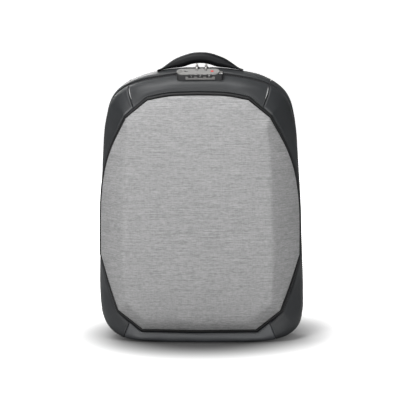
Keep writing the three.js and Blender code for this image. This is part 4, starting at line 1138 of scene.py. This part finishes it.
class ClothPanel:
    """A cloth panel on the skin between two seams and two rows."""

    def __init__(self, start, end, first, last, rolls=ROLLS, bead=BEAD_SHARE, pitch=2.6):
        self.rolls, self.bead = rolls, bead
        gap = SEAM_GAP / 2 / HALF_WIDTH
        dense = np.linspace(start(ZIP) + gap, end(ZIP) - gap, 700)
        places = lengths_of(skin(dense, (first(dense) + last(dense)) / 2))
        self.length = places[-1]
        self.around = spread(self.length, pitch)
        self.angle = np.interp(self.around, places, dense)
        self.place_rows(first(self.angle), last(self.angle), pitch)
        from_start, from_end = self.angle - start(ZIP), end(ZIP) - self.angle
        lean = (start(self.row) - start(ZIP)) * np.clip(1 - from_start / LEAN_REACH, 0, 1)[:, None]
        lean = lean + (end(self.row) - end(ZIP)) * np.clip(1 - from_end / LEAN_REACH, 0, 1)[:, None]
        self.angles = self.angle[:, None] + lean
        self.points = skin(self.angles, self.row)
        self.normals = skin_normal(self.angles, self.row)
        self.from_seam = np.minimum(self.around, self.length - self.around)[:, None] + 0 * self.row

    def place_rows(self, low, high, pitch):
        """Rows from one edge to the other, at the same true distances from both all along the panel."""
        rows = low[:, None] + (high - low)[:, None] * np.linspace(0, 1, 48)
        fine = skin(np.broadcast_to(self.angle[:, None], rows.shape), rows)
        steps_along = np.linalg.norm(np.diff(fine, axis=1), axis=2)
        reach = np.concatenate([np.zeros((len(rows), 1)), np.cumsum(steps_along, axis=1)], axis=1)
        depth = reach[:, -1]
        steps = spread(depth.max(), pitch)
        edge = np.minimum(steps, steps[-1] - steps)
        near, first_half = edge < 4, steps < steps[-1] / 2
        self.row = np.empty((len(rows), len(steps)))
        self.from_first = np.empty_like(self.row)
        for n, deep in enumerate(depth):
            inside = np.minimum(edge, deep / 2)
            want = np.where(near & first_half, inside, steps / steps[-1] * deep)
            want = np.where(near & ~first_half, deep - inside, want)
            self.from_first[n] = np.maximum.accumulate(want)
            self.row[n] = np.interp(self.from_first[n], reach[n], rows[n])
        self.from_last = depth[:, None] - self.from_first

    def lifted(self, fold, pucker):
        """The outer surface with its folds, its puckers at the seams and its rolled edges."""
        near_edge = np.minimum(self.from_first, self.from_last)
        rest = np.minimum(near_edge, self.from_seam)
        waves = sum(cloud(self.points + shift, size) * share for shift, size, share in WAVES)
        gathers = cloud(self.points * (0.35, 1, 1) + 90, PUCKER_SIZE) * np.exp(-near_edge / PUCKER_REACH)
        uneven = 0.6 + 0.4 * cloud(self.points + 20, 42)
        first_roll, last_roll, seam_roll = self.rolls
        edges = np.minimum(rolled(self.from_first, first_roll), rolled(self.from_last, last_roll))
        bead = self.bead * (hump(self.from_first, *HEM_BEAD) - hump(self.from_first, *HEM_HOLLOW))
        lift = fold * waves * smooth_step(rest, 1.5, 14)
        lift = lift + pucker * gathers * smooth_step(rest, 0.4, 2.5)
        lift = lift + np.minimum(edges, rolled(self.from_seam, seam_roll))
        lift = lift - hump(near_edge, *STITCH_HOLLOW) * smooth_step(self.from_seam, 1, 4)
        lift = lift + uneven * hump(self.from_seam, *SEAM_SWELL) * smooth_step(near_edge, 2, 9)
        lift = lift + uneven * bead * smooth_step(self.from_seam, 4, 14)
        return self.points + self.normals * lift[..., None]

    def piece(self, name, cloth, fold, pucker, tucked):
        """The cloth with its ends and its first edge turned in; a tucked one runs on under its neighbours."""
        down = self.points - self.normals * CLOTH
        rows = [down[:1], self.lifted(fold, pucker), down[-1:]]
        if tucked:
            rows = [self.under(0, -1), *rows[:2], self.under(-1, 1), rows[2]]
        grid = np.concatenate(rows, axis=0)
        ends = 1 + tucked
        normals = np.concatenate([self.normals[:1]] * ends + [self.normals] + [self.normals[-1:]] * ends)
        turned_in = grid[:, :1] - normals[:, :1] * CLOTH
        return grid_piece(name, np.concatenate([turned_in, grid], axis=1), cloth)

    def under(self, end, sign):
        """The line of cloth that lies under the neighbour past one end."""
        angle, row = self.angles[end] + sign * SEAM_TUCK / HALF_WIDTH, self.row[end]
        return (skin(angle, row) - skin_normal(angle, row) * (CLOTH + FIT_GAP))[None]

    def line(self, distance, edge):
        """Points and normals a distance inside one edge: first, last, start or end."""
        surface = self.lifted(0, 0)
        if edge in ("first", "last"):
            measure = self.from_first if edge == "first" else self.from_last
            at = np.argmin(np.abs(measure - distance), axis=1)
            rows = np.arange(len(at))
            keep = (self.around > 5) & (self.around < self.length - 5)
            return surface[rows, at][keep], self.normals[rows, at][keep]
        around = self.around if edge == "start" else self.length - self.around
        at = int(np.argmin(np.abs(around - distance)))
        keep = (self.from_first[at] > 4) & (self.from_last[at] > 4)
        return surface[at][keep], self.normals[at][keep]


def zip_front(angle):
    return zip_edge(angle, -1)


def zip_rear(angle):
    return zip_edge(angle, 1)


def at_hem(angle):
    return np.zeros_like(angle)


def at_back(angle):
    return np.full_like(angle, float(BACK_EDGE))


class OBJECT_OT_backpack_panels(bpy.types.Operator):
    """Makes the cloth panels of the top, sides and base with their seams and stitches"""

    bl_idname = "object.backpack_panels"
    bl_label = "Cloth Panels"

    def execute(self, context):
        shape = context.scene.backpack_shape
        fold, pucker, pitch = shape.fold_depth / MM, shape.pucker_depth / MM, shape.stitch_pitch / MM
        top, base = seam_at(TOP_SEAM, "right"), seam_at(BASE_SEAM, "right")
        left_top, left_base = seam_at(TOP_SEAM, "left"), seam_at(BASE_SEAM, "left")
        parts = {
            "front_top_panel": (top, left_top, at_hem, zip_front, TOP_ROLLS, TOP_BEAD_SHARE),
            "front_side_panel_right": (base, top, at_hem, zip_front, SIDE_ROLLS),
            "front_side_panel_left": (left_top, left_base, at_hem, zip_front, SIDE_ROLLS),
            "base_panel": (seam_at(BASE_SEAM, "left", -TURN), base, at_hem, at_back),
            "rear_top_panel": (top, left_top, zip_rear, at_back),
            "rear_side_panel_right": (base, top, zip_rear, at_back),
            "rear_side_panel_left": (left_top, left_base, zip_rear, at_back),
        }
        for node, limits in parts.items():
            panel = ClothPanel(*limits)
            # The base panel takes the lighter cloth, with painted light from the floor below.
            look = finish("base" if node == "base_panel" else "panel")
            at_top = node in ("front_top_panel", "rear_top_panel")
            cloth = panel.piece(node + "_cloth", look, fold, pucker, at_top or node == "base_panel")
            riding(cloth, nodes=(node,))
            lines = {**EDGE_STITCHES, **SEAM_STITCHES} if at_top else EDGE_STITCHES
            for label, (inside, edge) in lines.items():
                points, normals = panel.line(inside, edge)
                if len(points) > 4:
                    stitch_row(f"{node}_stitches_{label}", points, normals, pitch)
            # Raised folds beside the upper seams, with a painted highlight in their light cloth.
            if node == "front_top_panel":
                self.pinch("right", *panel.line(PINCH_INSET, "start"))
                self.pinch("left", *panel.line(PINCH_INSET, "end"))
        return {"FINISHED"}

    def pinch(self, name, points, normals):
        """The tapering fold of cloth pinched up beside an upper seam, in light cloth that paints the seam's
        highlight.
        """
        known = np.arange(len(points))
        at = np.linspace(*PINCH_SPAN, 40) * (len(points) - 1)
        place = points_at(at, known, points) + points_at(at, known, normals) * 0.1
        swell = np.sin(np.linspace(0.02, math.pi - 0.02, len(at))) ** 0.6
        fold = swept(
            f"pinched_fold_{name}", place, section(12, 0.9), PINCH_HALF_WIDTH * swell,
            PINCH_HALF_THICK * swell, (1, 0, 0), finish("fold"),
        )
        riding(fold)


# The zip

class OBJECT_OT_backpack_zip(bpy.types.Operator):
    """Makes the zip's tape and its rows of teeth"""

    bl_idname = "object.backpack_zip"
    bl_label = "Zip"

    def execute(self, context):
        start = math.radians(ZIP_END - ZIP_TAPER)
        angle = np.linspace(start, math.pi - start, 420)
        low, high = (row_from(angle, ZIP, side * TAPE_HALF_WIDTH) for side in (-1, 1))
        share = np.linspace(0, 1, 13)
        rows = low[:, None] + (high - low)[:, None] * share
        angles = np.broadcast_to(angle[:, None], rows.shape)
        points, normals = skin(angles, rows), skin_normal(angles, rows)
        top = points + normals * (-CLOTH - TAPE_GAP)
        bottom = points + normals * (-CLOTH - TAPE_GAP - TAPE_WALL)
        grid = np.concatenate([bottom[:, :1], top, bottom[:, -1:]], axis=1)
        far = np.broadcast_to(lengths_of(points[:, 6])[:, None], grid.shape[:2])
        across = np.linspace(-TAPE_HALF_WIDTH, TAPE_HALF_WIDTH, grid.shape[1])
        wide = np.broadcast_to(across, grid.shape[:2])
        tape = grid_piece("zip_tape_cloth", grid, finish("tape"), uv=np.stack([wide, far], -1))
        riding(tape, nodes=("zip_tape",))

        start = math.radians(ZIP_END)
        dense = np.linspace(start, math.pi - start, 2400)
        centre = np.full_like(dense, float(ZIP))
        line, normal = skin(dense, centre), skin_normal(dense, centre)
        places = lengths_of(line)
        count = int(places[-1] / (context.scene.backpack_shape.tooth_pitch / MM))
        middles = (np.arange(count) + 0.5) * places[-1] / count
        at = np.interp(middles, places, np.arange(len(dense))).astype(int)
        along = along_of(line)[at]
        up, seat = normal[at], line[at]
        side = np.cross(along, up)
        outline = np.array(TOOTH_OUTLINE)
        points, faces = [], []
        for sign in (-1, 1):
            shift = along * (TOOTH_OFFSET * sign)
            for reach, size in TOOTH_SECTIONS:
                spot = seat + shift + side * reach * sign + up * (-CLOTH - TAPE_GAP + FIT_GAP)
                ring = spot[:, None] + along[:, None] * outline[None, :, :1] * size * TOOTH_NARROWING
                points.append(ring + up[:, None] * outline[None, :, 1:] * size)
        stack = np.stack(points, axis=1).reshape(-1, 3)
        ring, rows = len(TOOTH_OUTLINE), len(TOOTH_SECTIONS)
        for tooth in range(2 * count):
            base = tooth * rows * ring
            for r in range(rows - 1):
                for s in range(ring - 1):
                    a = base + r * ring + s
                    faces.append([a, a + 1, a + ring + 1, a + ring])
            faces.append(list(range(base, base + ring)))
            faces.append(list(range(base + (rows - 1) * ring, base + rows * ring))[::-1])
        teeth = new_piece("zip_teeth", stack, faces, finish("coil"), sharp=50)
        riding(teeth, nodes=("zip_chain",))
        return {"FINISHED"}


# The handle

def finer(rows, count):
    """More rows of a table, with a smooth line through every column."""
    table = np.asarray(rows, float)
    place = np.linspace(0, len(table) - 1, count)
    first = np.minimum(place.astype(int), len(table) - 2)
    t = (place - first)[:, None]
    a, b, c, d = (table[np.clip(first + n, 0, len(table) - 1)] for n in (-1, 0, 1, 2))
    return b + 0.5 * ((c - a) * t + (2 * a - 5 * b + 4 * c - d) * t**2 + (3 * b - a - 3 * c + d) * t**3)


def top_at(x):
    """Height of the bag's ridge at places across it."""
    angle = np.full_like(x, math.pi / 2)
    for _ in range(6):
        angle = np.arctan2(outline_at(angle)[:, 2] - PIVOT_Z, x)
    rows = np.linspace(ZIP, ZIP + 2, 15)
    shape = (len(x), len(rows))
    points = skin(np.broadcast_to(angle[:, None], shape), np.broadcast_to(rows, shape))
    return points[..., 2].max(axis=1)


class OBJECT_OT_backpack_handle(bpy.types.Operator):
    """Makes the padded carry handle and its stitches"""

    bl_idname = "object.backpack_handle"
    bl_label = "Carry Handle"

    def execute(self, context):
        half = finer(HANDLE_ROWS, 45)
        left = half[:0:-1] * (-1, 1, 1, 1)
        rows = np.concatenate([left, half])
        x = rows[:, 0] * HANDLE_SPAN / 2
        thick = rows[:, 3] * HANDLE_THICK
        seat = top_at(x) + FIT_GAP + np.maximum(rows[:, 1], 0) * HANDLE_RISE
        centres = np.stack([x, np.full_like(x, HANDLE_BACK), seat + thick / 2], -1)
        wide = rows[:, 2] * HANDLE_WIDTH / 2
        grip = swept(
            "handle_cover", centres, section(40, 0.82), wide, thick / 2, (0, 1, 0), finish("grip"),
        )
        riding(grip, nodes=("handle_grip",))
        _, side, up = axes_of(centres, (0, 1, 0))
        inside = np.abs(rows[:, 0]) < 0.97
        reach, drop = 0.9, 0.35
        for sign, label in ((-1, "front"), (1, "rear")):
            points = centres + side * (sign * wide * reach)[:, None] - up * (thick / 2 * drop)[:, None]
            normals = unit(side * sign - up * 0.5)
            stitch_row(f"handle_stitches_{label}", points[inside], normals[inside])
        return {"FINISHED"}


# The back

def rounded_ring(width, height, radius, sides=12):
    w, h = width / 2 - radius, height / 2 - radius
    points = []
    for x, z, start in ((w, h, 0), (-w, h, 90), (-w, -h, 180), (w, -h, 270)):
        for turn in np.radians(np.linspace(start, start + 90, sides)):
            points.append((x + radius * math.cos(turn), 0, z + radius * math.sin(turn)))
    return np.array(points)


def back_piping_centres(angle):
    row = at_back(angle)
    end = skin(angle, row) - skin_normal(angle, row) * CLOTH / 2
    along = unit(skin(angle, row) - skin(angle, row - 0.02))
    return end + along * (PIPING_RADIUS + SEAM_GAP)


class OBJECT_OT_backpack_back(bpy.types.Operator):
    """Makes the padded back, its two pads and the piping round it"""

    bl_idname = "object.backpack_back"
    bl_label = "Padded Back"

    def execute(self, context):
        angle = round_bag(420)
        centres = back_piping_centres(angle)
        piping = swept(
            "back_piping_cord", centres, section(14, 1), PIPING_RADIUS, PIPING_RADIUS, radial(angle),
            finish("trim"), closed=True,
        )
        riding(piping, nodes=("back_piping",))

        along = along_of(centres, True)
        inward = unit(np.stack([-along[:, 2], np.zeros(len(along)), along[:, 0]], -1))
        edge = centres + inward * (PIPING_RADIUS + SEAM_GAP)
        middle = np.array([0, BACK_FACE, PIVOT_Z])
        columns = [edge * (1, 0, 1) + np.array([0, BACK_FACE - BACK_WALL + 1, 0])]
        for inset, drop in ((0, 2.6), (1.2, 1.5), (3.5, 0.8), (7, 0.3), (BACK_BEVEL, 0)):
            columns.append((edge + inward * inset) * (1, 0, 1) + np.array([0, BACK_FACE - drop, 0]))
        rim = columns[-1]
        columns += [rim + (middle - rim) * share for share in np.linspace(0, 1, 34)[1:-1]]
        grid = np.stack(columns, axis=1)
        self.ribs(grid[:, 6:])
        points = np.concatenate([grid.reshape(-1, 3), middle[None]])
        rows, count = grid.shape[:2]
        hub, last = len(points) - 1, count - 1
        faces = grid_faces(rows, count, True)
        faces += [[n * count + last, (n + 1) % rows * count + last, hub] for n in range(rows)]
        faces = facing(points, faces, np.array([0, 0, PIVOT_Z]))
        panel = new_piece("back_cloth", points, faces, finish("mesh"))
        riding(panel, nodes=("back_panel",))

        for name, sign in (("left", -1), ("right", 1)):
            self.pad(name, sign)
        return {"FINISHED"}

    def ribs(self, flat):
        """Presses shallow upright ribs into the channel between the pads, and slow waves all over."""
        channel, depth = 24, 0.25
        inside = channel - np.abs(flat[..., 0])
        ribs = np.cos(flat[..., 0] / channel * math.pi) * smooth_step(inside, 0, 8)
        flat[..., 1] -= depth * (1 - ribs) * smooth_step(inside, -2, 6)
        flat[..., 1] += 0.15 * cloud(flat, 30)

    def pad(self, name, sign):
        """A back pad with a turned edge and two grooves across it."""
        middle = np.array([sign * (PAD["channel"] + PAD["width"]) / 2, 0, (PAD["top"] + PAD["bottom"]) / 2])
        tall = PAD["top"] - PAD["bottom"]
        seat = BACK_FACE + FIT_GAP
        edge_end, edge_rise = PAD_EDGE[-1]
        crown = [
            (inset, min(1.0, edge_rise + (1 - edge_rise) * (inset - edge_end) / 6))
            for inset in np.linspace(9, 44, 18)
        ]
        rings = []
        for inset, up in (*PAD_EDGE, *crown):
            corner = max(PAD["corner"] - inset, 1.0)
            ring = rounded_ring(PAD["width"] - 2 * inset, tall - 2 * inset, corner, 26) + middle
            ring[:, 1] = seat + up * PAD["thick"]
            rings.append(self.even_sides(ring))
        rings = np.stack(rings)
        z = rings[..., 2] - middle[2]
        high = (rings[..., 1] - seat) / PAD["thick"]
        for groove in (-tall / 6, tall / 6):
            rings[..., 1] -= hump(z, groove, GROOVE_WIDTH, GROOVE_DEPTH) * smooth_step(high, 0.1, 0.9)
        rings[..., 1] += cloud(rings, 26) * 0.3 * high
        pad = ring_loft(f"back_pad_cover_{name}", rings, finish("mesh"))
        riding(pad, nodes=(f"back_pad_{name}",))

    def even_sides(self, ring):
        """The same ring with its points spread evenly along it."""
        closed = np.concatenate([ring, ring[:1]])
        places = lengths_of(closed)
        return points_at(np.linspace(0, places[-1], 200, endpoint=False), places, closed)


# Shoulder straps

def strap_line(sign, count):
    rows = finer(STRAP_ROWS, count)
    across, behind, up, wide, thick = rows.T
    y = BACK_FACE + FIT_GAP + thick * STRAP_THICK / 2 + behind * STRAP_BOW
    centres = np.stack([sign * across * HALF_WIDTH, y, up * BODY_HEIGHT], -1)
    return centres, wide * STRAP_WIDTH / 2, thick * STRAP_THICK / 2


class OBJECT_OT_backpack_straps(bpy.types.Operator):
    """Makes the shoulder straps, their webbing and their sewn tabs"""

    bl_idname = "object.backpack_straps"
    bl_label = "Shoulder Straps"

    def execute(self, context):
        for name, sign in (("left", -1), ("right", 1)):
            self.strap(name, sign)
            self.webbing(name, sign)
        return {"FINISHED"}

    def strap(self, name, sign):
        centres, wide, thick = strap_line(sign, 90)
        pad = swept(
            f"shoulder_strap_pad_{name}", centres, section(44, 0.5), wide, thick, (1, 0, 0), finish("mesh"),
        )
        riding(pad, nodes=(f"shoulder_strap_{name}",))
        _, side, up = axes_of(centres, (1, 0, 0))
        for edge, label in ((-1, "inner"), (1, "outer")):
            path = centres + side * (edge * (wide - 0.6))[:, None]
            binding = swept(
                f"strap_binding_{name}_{label}", path, section(12, 0.8), BINDING_HALF_WIDTH, thick * 0.62,
                (1, 0, 0), finish("trim"),
            )
            riding(binding)
            for face, where in ((1, "back"), (-1, "front")):
                aside, above = edge * (wide - STRAP_STITCH_INSET), face * (thick + 0.05)
                line = centres + side * aside[:, None] + up * above[:, None]
                stitch_row(f"strap_stitches_{name}_{label}_{where}", line, up * face)

    def webbing(self, name, sign):
        centres, _, thick = strap_line(sign, 17)
        along, side, up = axes_of(centres, (1, 0, 0))
        end, ahead, out, across = centres[-1], along[-1], up[-1], side[-1]

        def beyond(path):
            return np.array([end + ahead * past + out * away for past, away in path])

        ribbon = section(16, 0.35)
        half = (WEBBING_WIDTH / 2, WEBBING_WALL / 2)
        ply = FIT_GAP + WEBBING_WALL / 2
        sewn = np.array([centres[n] + up[n] * (thick[n] + ply) for n in (-3, -2, -1)])
        loop = open_curve(np.concatenate([sewn, beyond(LOOP_PATH)]), 110)
        loop = swept(f"adjuster_loop_{name}_webbing", loop, ribbon, *half, across, finish("webbing"))
        riding(loop, nodes=(f"adjuster_loop_{name}",))

        anchor_x = sign * ANCHOR["across"] * HALF_WIDTH
        face = BACK_FACE + FIT_GAP + ANCHOR["wall"]
        top = ANCHOR["up"] * BODY_HEIGHT
        foot = np.array([anchor_x, face + ply, top - ANCHOR["height"] + 5])
        seat = np.array([anchor_x, face + ply, top - 6])
        load_top = beyond((LOAD_START,))[0]
        handles = [seat, seat + (0, 0.5, 18), load_top + ahead * 16, load_top]
        share = np.linspace(0, 1, 9)[:, None]
        load = sum(math.comb(3, n) * (1 - share) ** (3 - n) * share**n * handles[n] for n in range(4))
        through = beyond(WEBBING_PATH)
        tail = [through[-1] + (0, 3.5 * s**0.5, -TAIL_LENGTH * s) for s in (0.12, 0.3, 0.6, 1)]
        path = open_curve(np.concatenate([foot[None], load, through, tail]), 300)
        webbing = swept(f"webbing_{name}_ribbon", path, ribbon, *half, across, finish("webbing"))
        riding(webbing, nodes=(f"webbing_{name}",))
        fold = open_curve([path[-1] + (0, 1.2, 5), path[-1] + (0, 1.4, 0)], 8)
        hem = swept(f"webbing_end_{name}", fold, ribbon, half[0], 0.7, across, finish("webbing"))
        riding(hem)
        self.tab(name, anchor_x, face, top)

    def tab(self, name, x, face, top):
        wide, high = ANCHOR["width"] / 2, ANCHOR["height"]
        narrow = ANCHOR["taper"] * wide
        rings = []
        for inset, rise in TAB_EDGE:
            corners = [
                (inset - narrow, -inset), (narrow - inset, -inset),
                (wide - inset, inset - high), (inset - wide, inset - high),
            ]
            rings.append([
                (x + a[0] + (b[0] - a[0]) * s, face - ANCHOR["wall"] + rise, top + a[1] + (b[1] - a[1]) * s)
                for a, b in zip(corners, corners[1:] + corners[:1])
                for s in np.linspace(0, 1, 12, endpoint=False)
            ])
        tab = ring_loft(f"anchor_tab_{name}_cloth", np.array(rings), finish("panel"), sharp=60)
        riding(tab, nodes=(f"anchor_tab_{name}",))
        for n, pair in enumerate(zip(TAB_STITCHES, TAB_STITCHES[1:])):
            start, end = (np.array([x + aside, face - 0.05, top + rise]) for aside, rise in pair)
            line = start + (end - start) * np.linspace(0, 1, 9)[:, None]
            normals = np.broadcast_to(np.array([0.0, 1.0, 0.0]), line.shape)
            stitch_row(f"anchor_stitches_{name}_{n}", line, normals, 2.6, 1.9)


# The lock

ZIP_TOP = skin(np.array([math.pi / 2]), np.array([float(ZIP)]))[0]
LOCK_ORIGIN = ZIP_TOP + (0, -LOCK_FORWARD, LOCK_RISE)
LOCK_AXES = np.array([
    (1, 0, 0),
    (0, math.cos(LOCK_TILT), math.sin(LOCK_TILT)),
    (0, -math.sin(LOCK_TILT), math.cos(LOCK_TILT)),
])


def from_lock(points):
    """Points drawn with the lock lying flat, put in its place over the zip."""
    return LOCK_ORIGIN + np.asarray(points, float) @ LOCK_AXES


def slider_place(x):
    """The place and directions of a slider on the zip."""
    angle = np.array([math.pi / 2])
    for _ in range(6):
        angle = np.arctan2(skin(angle, np.array([float(ZIP)]))[:, 2] - PIVOT_Z, x)
    row = np.array([float(ZIP)])
    up = skin_normal(angle, row)[0]
    along = unit(skin(angle - 0.01, row) - skin(angle + 0.01, row))[0]
    across = unit(np.cross(up, along))
    seat = skin(angle, row)[0] + up * SLIDER_SEAT
    return seat, across, up


def soften(node, finish_name, radius):
    """Rounds the edges of a frame solid that shows and gives it its finish."""
    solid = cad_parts[node]
    solid.data.materials.clear()
    solid.data.materials.append(finish(finish_name))
    weld = solid.modifiers.new("Weld", "WELD")
    weld.merge_threshold = 0.00002
    bevel = solid.modifiers.new("Edges", "BEVEL")
    bevel.width = radius * MM
    bevel.segments = 2
    bevel.limit_method = "ANGLE"
    bevel.angle_limit = math.radians(34)
    bevel.harden_normals = True
    solid.data.polygons.foreach_set("use_smooth", np.ones(len(solid.data.polygons), bool))
    smooth = solid.modifiers.new("Normals", "WEIGHTED_NORMAL")
    smooth.keep_sharp = True


class OBJECT_OT_backpack_lock(bpy.types.Operator):
    """Finishes the combination lock and makes its dials and pulls"""

    bl_idname = "object.backpack_lock"
    bl_label = "Combination Lock"

    def execute(self, context):
        for node, finish_name, radius in SOLIDS:
            soften(node, finish_name, radius)
        for number in (1, 2, 3):
            self.dial(number)
        for name, x in SLIDER_SHIFTS.items():
            self.pull(name, x)
        return {"FINISHED"}

    def dial(self, number):
        low, high = (np.array(corner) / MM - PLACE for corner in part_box(f"dial_{number}"))
        centre = (low + high) / 2
        sides, half = 120, DIAL_WIDTH / 2
        turn = TURN * np.arange(sides) / sides
        from_notch = np.abs((turn * 10 / TURN + 0.5) % 1 - 0.5)
        notch = hump(from_notch, 0, NOTCH_WIDTH, NOTCH_DEPTH)
        profile = [(side - half, inset, depth) for side, inset, depth in DIAL_PROFILE]
        profile += [(half - side, inset, depth) for side, inset, depth in DIAL_PROFILE[::-1]]
        rings = []
        for x, inset, depth in profile:
            at_bore = inset == 0 and depth == 0
            radius = np.full(sides, AXLE_BORE) if at_bore else DIAL_RADIUS - inset - notch * depth
            ring = np.stack([np.full(sides, x), radius * np.cos(turn), radius * np.sin(turn)], -1)
            rings.append(ring + centre)
        dial = ring_loft(f"dial_{number}_wheel", np.stack(rings), finish("plastic"), closed=True, sharp=45)
        body = f"dial_{number}_body"
        riding(dial, body, (f"dial_{number}",))
        for digit in range(10):
            angle = DIGIT_SHOWN + TURN * ((digit - 2 * number) % 10) / 10
            self.digit(f"dial_{number}_digit_{digit}", str(digit), centre, angle, body)

    def digit(self, name, text, centre, angle, body):
        curve = bpy.data.curves.new(name, "FONT")
        curve.body, curve.align_x, curve.align_y = text, "CENTER", "CENTER"
        curve.size, curve.extrude = DIGIT_SIZE, DIGIT_WALL
        drawn = bpy.data.objects.new(name + "_drawn", curve)
        bpy.context.scene.collection.objects.link(drawn)
        flat = bpy.data.meshes.new_from_object(drawn.evaluated_get(bpy.context.evaluated_depsgraph_get()))
        bpy.data.objects.remove(drawn)
        bpy.data.curves.remove(curve)
        out = np.array([0, math.cos(angle), math.sin(angle)])
        rise = np.array([0, math.sin(angle), -math.cos(angle)])
        across = np.cross(rise, out)
        co = np.zeros(len(flat.vertices) * 3)
        flat.vertices.foreach_get("co", co)
        co = co.reshape(-1, 3)
        lifted = co[:, 2:] + DIAL_RADIUS - DIGIT_SINK
        points = centre + co[:, :1] * across + co[:, 1:2] * rise + lifted * out
        faces = [list(p.vertices) for p in flat.polygons]
        bpy.data.meshes.remove(flat)
        riding(new_piece(name, points, faces, finish("digits"), sharp=30), body)

    def pull(self, name, x):
        seat, across, up = slider_place(x)
        lower = [seat + across * y + up * z for y, z in PULL_AT_SLIDER]
        upper = from_lock([(x, y, z) for y, z in PULL_AT_LOCK])
        path = open_curve(np.concatenate([lower, upper]), 90)
        pull = swept(
            f"pull_{name}_strip", path, section(20, 0.45), PULL_WIDTH / 2, PULL_WALL / 2, (1, 0, 0),
            finish("gunmetal"),
        )
        riding(pull, nodes=(f"pull_{name}",))


class VIEW3D_PT_backpack(bpy.types.Panel):
    """Steps and settings of the backpack"""

    bl_label = "Backpack"
    bl_space_type = "VIEW_3D"
    bl_region_type = "UI"
    bl_category = "Backpack"

    def draw(self, context):
        layout = self.layout
        for settings in ("backpack_shape", "backpack_finish", "backpack_stage"):
            group = getattr(context.scene, settings)
            box = layout.box()
            for key in group.__annotations__:
                box.prop(group, key)
        for step in STEPS:
            layout.operator(step.bl_idname)


STEPS = (
    OBJECT_OT_backpack_stage,
    OBJECT_OT_backpack_shell,
    OBJECT_OT_backpack_panels,
    OBJECT_OT_backpack_zip,
    OBJECT_OT_backpack_handle,
    OBJECT_OT_backpack_back,
    OBJECT_OT_backpack_straps,
    OBJECT_OT_backpack_lock,
)
SETTINGS = {
    "backpack_shape": BackpackShapeSettings,
    "backpack_finish": BackpackFinishSettings,
    "backpack_stage": BackpackStageSettings,
}
CLASSES = (*SETTINGS.values(), *STEPS, VIEW3D_PT_backpack)


def register():
    for item in CLASSES:
        bpy.utils.register_class(item)
    for name, settings in SETTINGS.items():
        setattr(bpy.types.Scene, name, bpy.props.PointerProperty(type=settings))


def unregister():
    for name in SETTINGS:
        delattr(bpy.types.Scene, name)
    for item in reversed(CLASSES):
        bpy.utils.unregister_class(item)


def main():
    register()
    bpy.ops.object.backpack_stage()
    bpy.ops.object.backpack_shell()
    bpy.ops.object.backpack_panels()
    bpy.ops.object.backpack_zip()
    bpy.ops.object.backpack_handle()
    bpy.ops.object.backpack_back()
    bpy.ops.object.backpack_straps()
    bpy.ops.object.backpack_lock()


if __name__ == "__main__":
    main()
